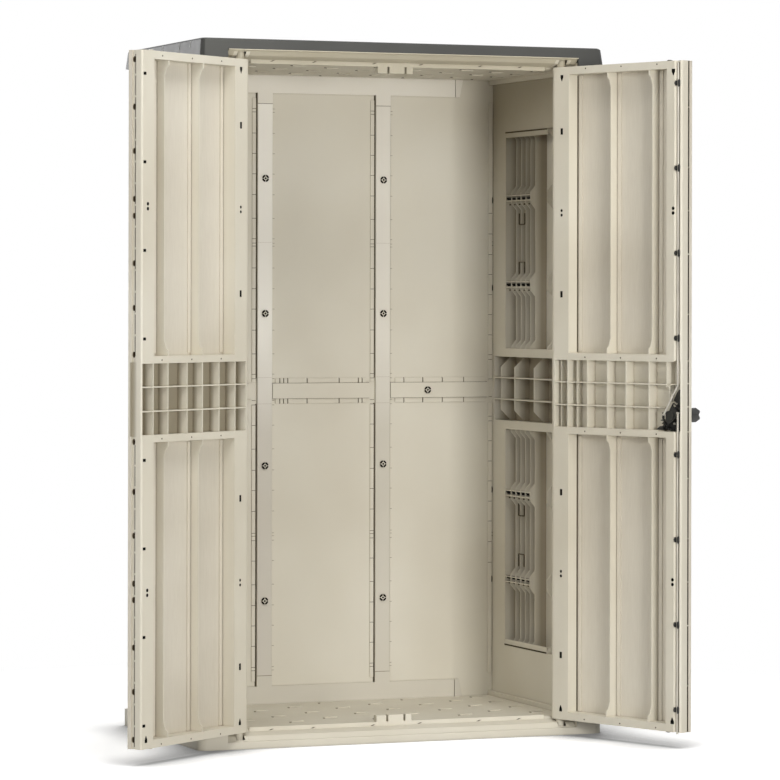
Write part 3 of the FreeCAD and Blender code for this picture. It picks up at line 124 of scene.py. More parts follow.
class Shader:
    """A node tree with a Principled shader, and short ways to add to it."""

    def __init__(self, name):
        self.material = bpy.data.materials.new(name)
        self.material.use_nodes = True
        self.tree = self.material.node_tree
        self.shader = self.tree.nodes["Principled BSDF"]
        self.place = self.add("ShaderNodeTexCoord").outputs["Object"]

    def add(self, kind, **inputs):
        node = self.tree.nodes.new(kind)
        for name, number in inputs.items():
            node.inputs[name.replace("_", " ")].default_value = number
        return node

    def link(self, source, target):
        self.tree.links.new(source, target)

    def stretched(self, scale):
        node = self.add("ShaderNodeMapping")
        node.inputs["Scale"].default_value = scale
        self.link(self.place, node.inputs["Vector"])
        return node.outputs["Vector"]

    def noise(self, scale, detail, stretch=None, roughness=0.55):
        node = self.add("ShaderNodeTexNoise", Scale=scale, Detail=detail, Roughness=roughness)
        self.link(self.stretched(stretch) if stretch else self.place, node.inputs["Vector"])
        return node.outputs["Fac"]

    def ramp(self, source, stops):
        node = self.add("ShaderNodeValToRGB")
        element = node.color_ramp.elements
        while len(element) < len(stops):
            element.new(0.5)
        for mark, (place, colour) in zip(element, stops):
            mark.position = place
            mark.color = (*colour, 1)
        self.link(source, node.inputs["Fac"])
        return node.outputs["Color"]

    def mix(self, share, first, second, blend="MIX"):
        node = self.add("ShaderNodeMix")
        node.data_type = "RGBA"
        node.blend_type = blend
        for socket, thing in ((node.inputs[0], share), (node.inputs[6], first),
                              (node.inputs[7], second)):
            if isinstance(thing, (int, float)):
                socket.default_value = thing
            elif isinstance(thing, tuple):
                socket.default_value = (*thing, 1)
            else:
                self.link(thing, socket)
        return node.outputs[2]

    def math(self, operation, first, second):
        node = self.add("ShaderNodeMath")
        node.operation = operation
        for socket, thing in ((node.inputs[0], first), (node.inputs[1], second)):
            if isinstance(thing, (int, float)):
                socket.default_value = thing
            else:
                self.link(thing, socket)
        return node.outputs[0]

    def painted_corner_shade(self, reach, corner_shade_tone, open_to):
        """Painted shade: a dark tone in narrow corners, going over to white where the place is open."""
        node = self.add("ShaderNodeAmbientOcclusion", Distance=reach)
        node.samples = CREVICE_SAMPLES
        return self.ramp(node.outputs["AO"], [(0.0, corner_shade_tone), (open_to, WHITE)])

    def along(self, direction, start, end):
        """Nought to one across a stretch, in millimetres, measured along a direction."""
        dot = self.add("ShaderNodeVectorMath")
        dot.operation = "DOT_PRODUCT"
        dot.inputs[1].default_value = direction
        self.link(self.place, dot.inputs[0])
        stretch = self.add("ShaderNodeMapRange")
        stretch.inputs["From Min"].default_value = start * MM
        stretch.inputs["From Max"].default_value = end * MM
        self.link(dot.outputs["Value"], stretch.inputs["Value"])
        return stretch.outputs["Result"]

    def mix_shaders(self, share, first, second):
        node = self.add("ShaderNodeMixShader")
        for socket, source in zip(node.inputs, (share, first, second)):
            self.link(source, socket)
        return node.outputs[0]

    def bump(self, height, strength, distance):
        node = self.add("ShaderNodeBump", Strength=strength, Distance=distance)
        self.link(height, node.inputs["Height"])
        self.link(node.outputs["Normal"], self.shader.inputs["Normal"])

    def colour(self, source):
        self.link(source, self.shader.inputs["Base Color"])

    def roughness(self, source, low, high):
        node = self.add("ShaderNodeMapRange")
        node.inputs["To Min"].default_value = low
        node.inputs["To Max"].default_value = high
        self.link(source, node.inputs["Value"])
        self.link(node.outputs["Result"], self.shader.inputs["Roughness"])


def linear(colour):
    """Linear values of a colour written as it shows on the screen, 0 to 255."""
    return tuple(((c / 255 + 0.055) / 1.055) ** 2.4 for c in colour)


# Moulded resin: noise scales of its slow clouds, flecks, grain and flow marks.
CLOUD_SCALE = 2.3
FLECK_SCALE = 900
GRAIN_SCALE = 700
FLOW_SCALE = 60
FLOW_STRETCH = (9.0, 9.0, 0.35)
FLECK_SHARE = 0.05
# Reach, openness and tone of the painted shade in the resins' corners.
CORNER_REACH = 0.007
CORNER_OPEN = 0.8
CORNER_SHADE_TONE = (0.58, 0.53, 0.46)


def moulded_resin(name, tones, streaks=0.0, corner_shade_tone=CORNER_SHADE_TONE, tints=()):
    """Moulded resin: a fine leathery grain, faint flow marks, and painted shade in the corners.

    The tones are the base, a pale and a dirty one. Each tint paints shade by place in the
    object: it is a direction, the stretch along it over which the tint comes in, the stretch
    over which it goes again or None, and the tint itself."""
    base, pale, dirty = (linear(tone) for tone in tones)
    s = Shader(name)
    cloud = s.ramp(s.noise(CLOUD_SCALE, 2), [(0.3, dirty), (0.52, base), (0.75, pale)])
    fleck = s.ramp(s.noise(FLECK_SCALE, 2), [(0.4, dirty), (0.6, pale)])
    colour = s.mix(FLECK_SHARE, cloud, fleck)
    grain = s.noise(GRAIN_SCALE, 4, roughness=0.7)
    if streaks:
        lines = s.noise(FLOW_SCALE, 4, FLOW_STRETCH)
        colour = s.mix(streaks, colour, s.ramp(lines, [(0.35, dirty), (0.6, pale)]))
        grain = s.math("ADD", s.math("MULTIPLY", grain, 0.5), s.math("MULTIPLY", lines, 1.6))
    colour = s.mix(1.0, colour, s.painted_corner_shade(CORNER_REACH, corner_shade_tone, CORNER_OPEN), "MULTIPLY")
    for direction, comes, goes, tint in tints:
        share = s.along(direction, *comes)
        if goes:
            share = s.math("MULTIPLY", share, s.along(direction, *goes[::-1]))
        colour = s.mix(1.0, colour, s.mix(share, WHITE, tint), "MULTIPLY")
    s.colour(colour)
    s.roughness(s.noise(35, 3), 0.44, 0.58)
    s.bump(grain, 0.2, 0.0004)
    s.shader.inputs["Specular IOR Level"].default_value = 0.38
    return s.material


def recess_shade(name, low, high):
    """Painted shade: a dark tone for the bottom of a narrow slot."""
    s = Shader(name)
    s.colour(s.ramp(s.noise(160, 3), [(0.3, linear(low)), (0.7, linear(high))]))
    s.roughness(s.noise(60, 2), 0.8, 0.95)
    s.bump(s.noise(500, 3), 0.1, 0.0003)
    s.shader.inputs["Specular IOR Level"].default_value = 0.08
    return s.material


STEEL_TONES = (172, 168, 158), (222, 217, 205)
BLACK_TONES = (24, 24, 23), (46, 46, 43)
DRAWN = (1.0, 1.0, 0.06)


def steel_wire():
    """Dull steel, with fine lines along the drawn wire."""
    s = Shader("drawn_steel")
    lines = s.noise(240, 4, DRAWN)
    s.colour(s.ramp(lines, [(0.3, linear(STEEL_TONES[0])), (0.7, linear(STEEL_TONES[1]))]))
    s.roughness(lines, 0.24, 0.42)
    s.bump(lines, 0.12, 0.0002)
    s.shader.inputs["Metallic"].default_value = 0.4
    return s.material


def black_plastic():
    s = Shader("black_plastic")
    slow = s.noise(30, 3)
    s.colour(s.ramp(slow, [(0.3, linear(BLACK_TONES[0])), (0.7, linear(BLACK_TONES[1]))]))
    s.roughness(slow, 0.3, 0.46)
    s.bump(s.noise(800, 3), 0.15, 0.0003)
    return s.material


# Base, pale and dirty tone of each resin, as they show on the screen.
BEIGE_TONES = (208, 202, 186), (214, 209, 195), (200, 193, 176)
# The pale and palest beiges are the beige made lighter as painted light, for the back posts and beams, and palest
# for the left post.
LIT_BEIGE_TONES = (221, 216, 204), (226, 221, 210), (212, 206, 192)
LIT_LEFT_POST_TONES = (236, 232, 222), (240, 236, 226), (228, 223, 211)
BOARD_TONES = (205, 198, 183), (213, 207, 193), (191, 183, 167)
DARK_TONES = (62, 62, 59), (71, 71, 67), (52, 52, 49)
RIB_GREY_TONES = (128, 127, 120), (140, 139, 132), (110, 109, 103)
# Tone of the painted shade in the dark grey's corners.
DARK_CORNER_SHADE_TONE = (0.4, 0.4, 0.4)
BOARD_STREAKS = 0.22

# Stretches, in millimetres, over which parts of the cabinet get a tint, and the tints. Each
# tint is painted shade: on the side walls' tops and recesses, in the left grid's cells, at the
# foot of the posts and beams, on the lintel and on the roof's flanks.
UPWARD = (0.0, 0.0, 1.0)
INWARD = (0.0, 1.0, 0.0)
WALL_TOP = (1000, 1650)
WALL_TOP_SHADE = (0.6, 0.57, 0.51)
WALL_DEPTH = (WALL_INNER + 12, WALL_INNER + 34)
WALL_SKIN = (WALL_OUTER - 3, WALL_OUTER - 1)
WALL_RECESS_SHADE = (0.55, 0.51, 0.45)
CELL_DEPTH = (14, 27)
CELL_FLOOR = (34, 37)
CELL_SHADE = (0.5, 0.47, 0.41)
POST_FOOT = (1050, 780)
LIT_BEIGE_FOOT_SHADE = (0.79, 0.78, 0.75)
LIT_LEFT_POST_FOOT_SHADE = (0.68, 0.66, 0.63)
LINTEL_FRONT = (FRONT + 62, FRONT + 46)
LINTEL_SHADE = (0.76, 0.74, 0.68)
ROOF_FLANK = (ROOF_HALF - 14, ROOF_HALF - 9)
ROOF_FLANK_SHADE = (0.4, 0.4, 0.39)


def wall_resin(side):
    """Resin of a side wall, with painted shade up under the ceiling and between its ribs."""
    outward = (float(side), 0.0, 0.0)
    return moulded_resin(f"beige_wall_painted_shade_{SIDE_NAMES[side]}", BEIGE_TONES, tints=(
        (UPWARD, WALL_TOP, None, WALL_TOP_SHADE),
        (outward, WALL_DEPTH, WALL_SKIN, WALL_RECESS_SHADE)))


def grid_resin():
    """Resin of the left door's grid, with painted shade in the depth of its cells."""
    place = door_place(LEFT)
    facing = place.to_3x3() @ Vector((0, 1, 0))
    face = facing.dot(place.translation) / MM + DOOR_FACE
    comes, goes = ([face - depth for depth in stretch] for stretch in (CELL_DEPTH, CELL_FLOOR))
    return moulded_resin("beige_grid_left_painted_shade", BEIGE_TONES,
                         tints=((tuple(facing), comes, goes, CELL_SHADE),))


BEIGE = moulded_resin("beige_resin", BEIGE_TONES)
# Beige with painted light, for the back posts and beams; painted shade darkens it towards their foot.
LIT_BEIGE = moulded_resin("beige_pale", LIT_BEIGE_TONES, tints=((UPWARD, POST_FOOT, None, LIT_BEIGE_FOOT_SHADE),))
GRAINED = moulded_resin("beige_grained", BOARD_TONES, streaks=BOARD_STREAKS)
# Beige of the ceiling panel, with painted shade on the lintel at its front.
LINTEL = moulded_resin("beige_lintel_painted_shade", BEIGE_TONES,
                       tints=((INWARD, LINTEL_FRONT, None, LINTEL_SHADE),))
# Dark grey resin, with painted shade on the roof's flanks.
DARK = moulded_resin("dark_grey_resin", DARK_TONES, corner_shade_tone=DARK_CORNER_SHADE_TONE,
                     tints=[((side, 0.0, 0.0), ROOF_FLANK, None, ROOF_FLANK_SHADE)
                            for side in (-1.0, 1.0)])
# Beige with stronger painted light, for the left back post; painted shade darkens it towards its foot.
LIT_LEFT_POST_BEIGE = moulded_resin("beige_palest", LIT_LEFT_POST_TONES,
                       tints=((UPWARD, POST_FOOT, None, LIT_LEFT_POST_FOOT_SHADE),))
# A paler grey than the roof's, for the ribs on its flanks.
RIB_GREY = moulded_resin("rib_grey_resin", RIB_GREY_TONES)
# Painted shade in four tones, for dark marks put where slots, gaps and holes fall into shade.
SHADE = recess_shade("recess_shade", (66, 58, 45), (88, 79, 64))
SLIT_SHADE = recess_shade("slit_shade", (42, 33, 24), (58, 47, 36))
HOLE = recess_shade("hole_shade", (10, 9, 7), (20, 18, 14))
SOFT_SHADE = recess_shade("soft_recess_shade", (128, 120, 102), (150, 142, 124))
BLACK = black_plastic()
STEEL = steel_wire()
WALL_RESIN = {side: wall_resin(side) for side in (LEFT, RIGHT)}
FINISH = {"resin_beige": BEIGE, "resin_dark_grey": DARK, "black_plastic": BLACK,
          "rod_steel": STEEL}
OWN_FINISH = {"left_door_grid": grid_resin(), "back_post_left": LIT_LEFT_POST_BEIGE, "ceiling_panel": LINTEL}
for side in (LEFT, RIGHT):
    for part in ("panel_lower", "panel_upper", "grid"):
        OWN_FINISH[f"{SIDE_NAMES[side]}_wall_{part}"] = WALL_RESIN[side]


def node_finish(name, slot):
    """A CAD node's own finish, that of its kind, or that of its slot."""
    if name in OWN_FINISH:
        return OWN_FINISH[name]
    if "_door_skin_" in name:
        return GRAINED
    # Posts and beams take the beige with painted light.
    if name.startswith(("back_post", "back_beam")):
        return LIT_BEIGE
    return FINISH[slot]


def paint(piece, material):
    piece.data.materials.clear()
    piece.data.materials.append(material)


for part in frame["record"]["subparts"]:
    paint(NODES[part["node"]], node_finish(part["node"], part["material_slot"]))

BEVEL_ANGLE = math.radians(35)
BEVEL_SEGMENTS = 2


def round_edges(piece, width):
    bevel = piece.modifiers.new("edges", "BEVEL")
    bevel.width = width
    bevel.segments = BEVEL_SEGMENTS
    bevel.limit_method = "ANGLE"
    bevel.angle_limit = BEVEL_ANGLE
    bevel.use_clamp_overlap = True


def spot(plane, a, b, level):
    """A place in metres from two coordinates of a plane and the level across it."""
    places = {"XY": (a, b, level), "XZ": (a, level, b), "YZ": (level, a, b)}
    return Vector(places[plane]) * MM


def regular(a, b, radius, sides, stretch=1.0):
    """A regular polygon about a centre, taller than wide by the stretch."""
    turn = 2 * math.pi / sides
    angles = [(i + 0.5) * turn for i in range(sides)]
    return [(a + radius * math.cos(angle), b + radius * stretch * math.sin(angle))
            for angle in angles]


class Detail:
    """Small moulded forms of one finish in one mesh, which rides on one body."""

    def __init__(self, name, body, slot, material, place=None):
        self.name = name
        self.body = body
        self.slot = slot
        self.material = material
        self.place = place or Matrix.Identity(4)
        self.mesh = bmesh.new()

    def prism(self, outline, plane, start, end):
        """An outline in a plane of the frame, drawn out along the axis across it."""
        first, last = (
            [self.mesh.verts.new(self.place @ spot(plane, a, b, level)) for a, b in outline]
            for level in (start, end))
        self.mesh.faces.new(first)
        self.mesh.faces.new(last[::-1])
        for i in range(len(outline)):
            j = (i + 1) % len(outline)
            self.mesh.faces.new((first[j], first[i], last[i], last[j]))

    def block(self, x, y, z):
        self.prism([(x[0], y[0]), (x[1], y[0]), (x[1], y[1]), (x[0], y[1])], "XY", z[0], z[1])

    def finish(self, bevel=0.0):
        bmesh.ops.recalc_face_normals(self.mesh, faces=self.mesh.faces)
        data = bpy.data.meshes.new(self.name)
        self.mesh.to_mesh(data)
        self.mesh.free()
        piece = bpy.data.objects.new(self.name, data)
        bpy.context.scene.collection.objects.link(piece)
        if bevel:
            round_edges(piece, bevel * MM)
        paint(piece, self.material)
        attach(piece, self.body)


def shifted(place, offsets):
    """The places that lie at some offsets from a place."""
    return tuple(place + offset for offset in offsets)


def around(middle, half):
    """Both ends of a span about its middle."""
    return middle - half, middle + half


def cabinet_detail(name, material, slot="resin_beige"):
    return Detail(name, "cabinet", slot, material)


def door_detail(side, name, material, slot="resin_beige"):
    word = SIDE_NAMES[side]
    return Detail(f"{word}_door_{name}", f"{word}_door", slot, material, door_place(side))


def mirrored(height):
    """The height that lies as far below the doors' top as this one above their foot."""
    return DOOR_TOP + DOOR_FOOT - height


def both_storeys(heights):
    """The heights, and each of them mirrored in the other storey."""
    return [*heights, *map(mirrored, heights)]


# Floor and ceiling: staggered bars, with a slanted slot of painted shadow beside each, and slots
# in the door stop drawn as dark marks of painted shade.
BAR_COLUMNS = (-353, -238, -122, -6, 110, 235, 347, 440)
BAR_ROWS = ((-90, 44, 177), (-151, -16, 120, 254))
BAR_HALF_LENGTH = 17
BAR_HALF_WIDTH = 2.6
BAR_HEIGHTS = (DECK - 0.3, DECK + 2.2)
BAR_SLOT = ((-12, -20), (-6, -20), (1, 3), (-5, 3))
BAR_SLOT_HEIGHTS = (DECK - 0.3, DECK + 0.3)
LIP_SLOTS = (-351, -237, -72, 58, 225, 338)
LIP_SLOT_FOOT = (-7, -1)
LIP_SLOT_HEAD = (7, 1)
LIP_SLOT_HEIGHTS = (40, 43)
STOP_FACE = FRONT + 46.5
STOP_MARK = shifted(STOP_FACE, (-0.5, 0.3))


def deck_details(level):
    word = ("floor", "ceiling")[level]

    def lift(heights):
        return heights if level == 0 else tuple(mirrored(height) for height in heights[::-1])

    bars = cabinet_detail(f"{word}_bars", BEIGE)
    slots = cabinet_detail(f"{word}_bar_slot_shadows", (SOFT_SHADE, SHADE)[level])
    for number, x in enumerate(BAR_COLUMNS):
        for y in BAR_ROWS[number % 2]:
            bars.block(around(x, BAR_HALF_LENGTH), around(y, BAR_HALF_WIDTH), lift(BAR_HEIGHTS))
            outline = [(x - BAR_HALF_LENGTH + a, y + b) for a, b in BAR_SLOT]
            slots.prism(outline, "XY", *lift(BAR_SLOT_HEIGHTS))
    bars.finish(0.8)
    slots.finish()
    lip_slot_shades = cabinet_detail(f"{word}_lip_slot_shades", SHADE)
    low, high = lift(LIP_SLOT_HEIGHTS)
    for x in LIP_SLOTS:
        outline = [(x + a, low) for a in LIP_SLOT_FOOT] + [(x + a, high) for a in LIP_SLOT_HEAD]
        lip_slot_shades.prism(outline, "XZ", *STOP_MARK)
    lip_slot_shades.finish()


# Back wall: snap tabs part the strips beside the posts and show as dark ticks of painted
# shade. A dark line of painted shade runs down the left of each post, and faint bands of painted
# shade mark the wall at its right.
STRIP_WIDTH = 10
STRIP_GAP = 4
STRIP_FACE = WALL_BACK - 3
STRIP_MARK = shifted(STRIP_FACE, (-0.25, 0.2))
TICK_HALF = 0.6
TICK_OVERHANG = 0.5
UPPER_TICKS = (1653, 1644, 1587, 1532, 1477, 1421, 1357, 1302, 1290, 1282, 1223, 1167, 1112,
               1055, 991, 936, 924)
CORNER_TICKS = (1377, 1320, 1263, 1208, 1152, 1097, 1041, 986, 973, 919)
BAND_WIDTH = (0.5, 8)
BAND_MARK = shifted(WALL_BACK, (-0.3, 0.1))
GAP_LINE = (0.1 - STRIP_GAP, -0.1)
GAP_MARK = shifted(WALL_BACK, (-0.6, 0.2))
GAP_LOW = DECK + 47
GAP_RAIL_CLEARANCE = 14


def tick_width(joint):
    """The strip on the left of a joint, with a little overhang."""
    edge = joint - STRIP_GAP
    return edge - STRIP_WIDTH - TICK_OVERHANG, edge + TICK_OVERHANG


def back_strip_details():
    ticks = cabinet_detail("back_strip_tick_shades", SHADE)
    lines = cabinet_detail("back_gap_shades", SHADE)
    bands = cabinet_detail("back_post_band_shades", SOFT_SHADE)
    spans = ((GAP_LOW, RAIL_LOW - GAP_RAIL_CLEARANCE),
             (RAIL_HIGH + GAP_RAIL_CLEARANCE, mirrored(GAP_LOW)))
    for joint in (JOINT_LEFT, JOINT_RIGHT):
        band = shifted(joint + POST_WIDTH, BAND_WIDTH)
        for z in both_storeys(UPPER_TICKS):
            ticks.block(tick_width(joint), STRIP_MARK, around(z, TICK_HALF))
            bands.block(band, BAND_MARK, around(z, TICK_HALF))
        for span in spans:
            lines.block(shifted(joint, GAP_LINE), GAP_MARK, span)
    for z in both_storeys(CORNER_TICKS):
        ticks.block(tick_width(WALL_INNER), STRIP_MARK, around(z, TICK_HALF))
    ticks.finish()
    lines.finish()
    bands.finish()


# Tabs above and below the middle rail, in the centre, right and left bay.
TAB_ENDS = ((-145, -131, -120, -108, -52, 41, 97, 108, 122),
            (204, 231, 287, 345, 409, 474),
            (-490, -431, -373, -315, -257, -218))
TAB_HEIGHT = 13
TAB_RISE = 0.6
TAB_INSET = 1.2
TAB_DEPTH = (STRIP_FACE, WALL_BACK + 0.2)
TAB_TICK_HALF = 1.0
TAB_TICK_OVERHANG = 0.5
RAIL_LINES = ((JOINT_LEFT + POST_WIDTH + 2, JOINT_RIGHT - 16),
              (JOINT_RIGHT + POST_WIDTH + 2, 480))
RAIL_LINE_HALF = 0.9
RAIL_MARK = shifted(WALL_BACK, (-0.5, 0.1))


def mid_rail_details():
    tabs = cabinet_detail("mid_rail_tabs", BEIGE)
    # The ticks between the tabs and the lines along the rail's edges are dark marks of painted shade.
    ticks = cabinet_detail("mid_rail_tick_shades", SHADE)
    for ends in TAB_ENDS:
        for low in (RAIL_HIGH + TAB_RISE, RAIL_LOW - TAB_HEIGHT - TAB_RISE):
            high = low + TAB_HEIGHT
            for a, b in zip(ends, ends[1:]):
                tabs.block((a + TAB_INSET, b - TAB_INSET), TAB_DEPTH, (low, high))
            for x in ends[1:-1]:
                ticks.block(around(x, TAB_TICK_HALF), RAIL_MARK,
                            (low - TAB_TICK_OVERHANG, high + TAB_TICK_OVERHANG))
    for z in (RAIL_LOW, RAIL_HIGH):
        for line in RAIL_LINES:
            ticks.block(line, RAIL_MARK, around(z, RAIL_LINE_HALF))
    tabs.finish(0.6)
    ticks.finish()


# Broad screws of the back wall: a socket in a ring of four arcs, drawn as dark marks of painted shade.
SCREW_RISES = (115, 480)
MID_SCREW = (299, (RAIL_LOW + RAIL_HIGH) / 2)
SCREW_MARK = around(SCREW_FACE, 0.3)
RING_RADII = (9.8, 5.0)
ARC_START = 6
ARC_TURN = 78
ARC_STEPS = 4
SOCKET = (2.9, 8)


def screw_places():
    places = [MID_SCREW]
    for joint in (JOINT_LEFT, JOINT_RIGHT):
        for rise in SCREW_RISES:
            for z in (GRID_TOP + rise, mirrored(GRID_TOP + rise)):
                places.append((joint + POST_WIDTH / 2, z))
    return places


def screw_details():
    rings = cabinet_detail("back_screw_ring_shades", HOLE)
    for x, z in screw_places():
        for quarter in range(4):
            start = math.radians(90 * quarter + ARC_START)
            angles = [start + math.radians(ARC_TURN) * step / ARC_STEPS
                      for step in range(ARC_STEPS + 1)]
            outer, inner = ([(x + radius * math.cos(angle), z + radius * math.sin(angle))
                             for angle in angles] for radius in RING_RADII)
            rings.prism(outer + inner[::-1], "XZ", *SCREW_MARK)
        rings.prism(regular(x, z, *SOCKET), "XZ", *SCREW_MARK)
    rings.finish()


# Corners between the back wall and the side walls: long slots, and pairs of ringed holes, the
# slots and holes drawn as dark marks of painted shade. A polygon is given by its radius and sides,
# and its stretch where it is taller than wide.
CORNER_SLOT_LEVELS = (1413, 1171, 613, 366)
CORNER_SLOT = (2.0, 8, 4.5)
CORNER_SLOT_DEPTH = (WALL_BACK - 1.5, WALL_BACK)
CORNER_RING_LEVELS = (1293, 490)
CORNER_RING_RISES = (-5, 5)
CORNER_RING = (3.2, 10)
CORNER_RING_DEPTH = (WALL_BACK - 3, WALL_BACK)
CORNER_HOLE = (1.5, 8)
CORNER_HOLE_DEPTH = (WALL_BACK - 3.3, WALL_BACK - 2.9)
CORNER_INSET = 2


def corner_details(side):
    slots = cabinet_detail(f"{SIDE_NAMES[side]}_corner_slot_shades", HOLE)
    rings = cabinet_detail(f"{SIDE_NAMES[side]}_corner_rings", BEIGE)
    x = side * (WALL_INNER - CORNER_INSET)
    for z in CORNER_SLOT_LEVELS:
        slots.prism(regular(x, z, *CORNER_SLOT), "XZ", *CORNER_SLOT_DEPTH)
    for level in CORNER_RING_LEVELS:
        for z in shifted(level, CORNER_RING_RISES):
            rings.prism(regular(x, z, *CORNER_RING), "XZ", *CORNER_RING_DEPTH)
            slots.prism(regular(x, z, *CORNER_HOLE), "XZ", *CORNER_HOLE_DEPTH)
    slots.finish()
    rings.finish(0.4)


# Side walls: slots and studs at each pair of ledges, small brackets between the ribs, and a bar
# with a dark line at each end of the recess; slots, studs, brackets and lines are dark marks of
# painted shade. Depths count from the wall's inner face.
LEDGE_LEVELS = ((1400, 1421), (1166, 1186), (598, 619), (365, 386))
RIB_MARKS = (191, 155, 123, 91, 59, 27)
RIB_THICK = 2.5
LEDGE_SLOT_DEPTH = (2.2, 4)
LEDGE_SLOT_DROP = (-7.5, -3.6)
NOTCH_DROP = (-12, -7.4)
NOTCH_INSETS = (5, 4)
STUD_DEPTH = (0.8, 4)
STUD_PLACE = (10, 15)
STUD_RISE = (-3.5, 0.2)
RECESS_ENDS = ((1596, 1), (193, -1))
RECESS_SPAN = (-84, 196)
RECESS_BAR = (1.0, 14)
RECESS_BAR_DEPTH = (0.6, 6)
RECESS_LINE = (-1.2, 2.4)
RECESS_LINE_DEPTH = (-0.3, 3)
BRACKETS = ((1374, 1344), (1206, 1241), (582, 549), (410, 444))
BRACKET_ENDS = (96, 133)
BRACKET_DEPTH = (13, 16)
BRACKET_HALF = 1.2


def side_wall_details(side):
    word = SIDE_NAMES[side]
    slots = cabinet_detail(f"{word}_ledge_slot_shades", HOLE)
    studs = cabinet_detail(f"{word}_ledge_stud_shades", SHADE)
    brackets = cabinet_detail(f"{word}_wall_bracket_shadows", SHADE)
    bars = cabinet_detail(f"{word}_recess_bars", WALL_RESIN[side])

    def across(depths):
        return tuple(sorted(side * (WALL_INNER + depth) for depth in depths))

    for low, high in LEDGE_LEVELS:
        slots.block(across(LEDGE_SLOT_DEPTH), (RIB_MARKS[-1], RIB_MARKS[0]),
                    shifted(high, LEDGE_SLOT_DROP))
        for back, front in zip(RIB_MARKS, RIB_MARKS[1:]):
            notch = (front + NOTCH_INSETS[0], back - RIB_THICK - NOTCH_INSETS[1])
            slots.block(across(LEDGE_SLOT_DEPTH), notch, shifted(high, NOTCH_DROP))
            studs.block(across(STUD_DEPTH), shifted(front, STUD_PLACE), shifted(low, STUD_RISE))
    for edge, turn in RECESS_ENDS:
        bars.block(across(RECESS_BAR_DEPTH), RECESS_SPAN,
                   sorted(edge - turn * inset for inset in RECESS_BAR))
        studs.block(across(RECESS_LINE_DEPTH), RECESS_SPAN,
                    sorted(edge + turn * rise for rise in RECESS_LINE))
    for end, start in BRACKETS:
        for y in BRACKET_ENDS:
            brackets.block(across(BRACKET_DEPTH), around(y, BRACKET_HALF), sorted((end, start)))
        brackets.block(across(BRACKET_DEPTH), BRACKET_ENDS, around(start, BRACKET_HALF))
    slots.finish()
    studs.finish(0.4)
    brackets.finish(0.4)
    bars.finish(0.6)


# Roof: three low ribs on each flank. The outline gives steps out from the roof's edge, and heights.
ROOF_RIBS = (9, -128, -215)
ROOF_RIB = ((-4.4, 1780), (-2.4, 1780), (-4.6, 1796), (-6, 1796))
ROOF_RIB_HALF = 2


def roof_details():
    ribs = cabinet_detail("roof_flank_ribs", RIB_GREY, "resin_dark_grey")
    for side in (LEFT, RIGHT):
        outline = [(side * (ROOF_HALF + step), z) for step, z in ROOF_RIB]
        for y in ROOF_RIBS:
            ribs.prism(outline, "XZ", *around(y, ROOF_RIB_HALF))
    ribs.finish(0.5)


# Doors: dark bottoms of the holes in both stiles, painted shade, some of them drawn on the face,
# and dots of painted shade on the rails. A polygon is given by its radius and sides, and a
# teardrop by half its width.
HOLE_REACH = 22
HOLE_PITCH = 213
HOLE_HALF = (4.3, 8.3)
HOLE_SHADE_DEPTH = (DOOR_FACE - 1.1, DOOR_FACE - 0.7)
# Dark marks of painted shade for holes that lie on the face itself.
FACE_MARK = (DOOR_FACE - 0.5, DOOR_FACE + 0.25)
PAIR_RISES = (-6, 6)
PAIR_HOLE = (4.3, 6)
FREE_PAIR_REACH = {LEFT: 421, RIGHT: 418}
FREE_PAIR_HOLE = (4.8, 8)
END_HOLE = 354
END_HOLE_TIPS = (-6.6, 10)
END_HOLE_HALF = 5.2
FREE_END_HALF = 5.6
TEARDROP_BLUNT = 7
TEARDROP_TIP = 1
SQUARE_REACH = 434
SQUARE_HALF = (5.8, 3.5)
FREE_TEARDROP_REACH = 425
FREE_TEARDROP_TIPS = (15.5, 32.5)
DOT_REACHES = (108, 235, 361)
DOT_LEVELS = (DOOR_FOOT + 7, GRID_FOOT - 7, GRID_TOP + 5)
DOT_DROP = {LEFT: 11, RIGHT: 7}
DOT = (2.2, 8)
DOT_MARK = shifted(DOOR_FACE, (-0.3, 0.2))


def teardrop(x, blunt, tip, half):
    """A hole with one pointed end."""
    shoulder = blunt + (TEARDROP_BLUNT if tip > blunt else -TEARDROP_BLUNT)
    return [(x - half, blunt), (x + half, blunt), (x + half, shoulder),
            (x + TEARDROP_TIP, tip), (x - TEARDROP_TIP, tip), (x - half, shoulder)]


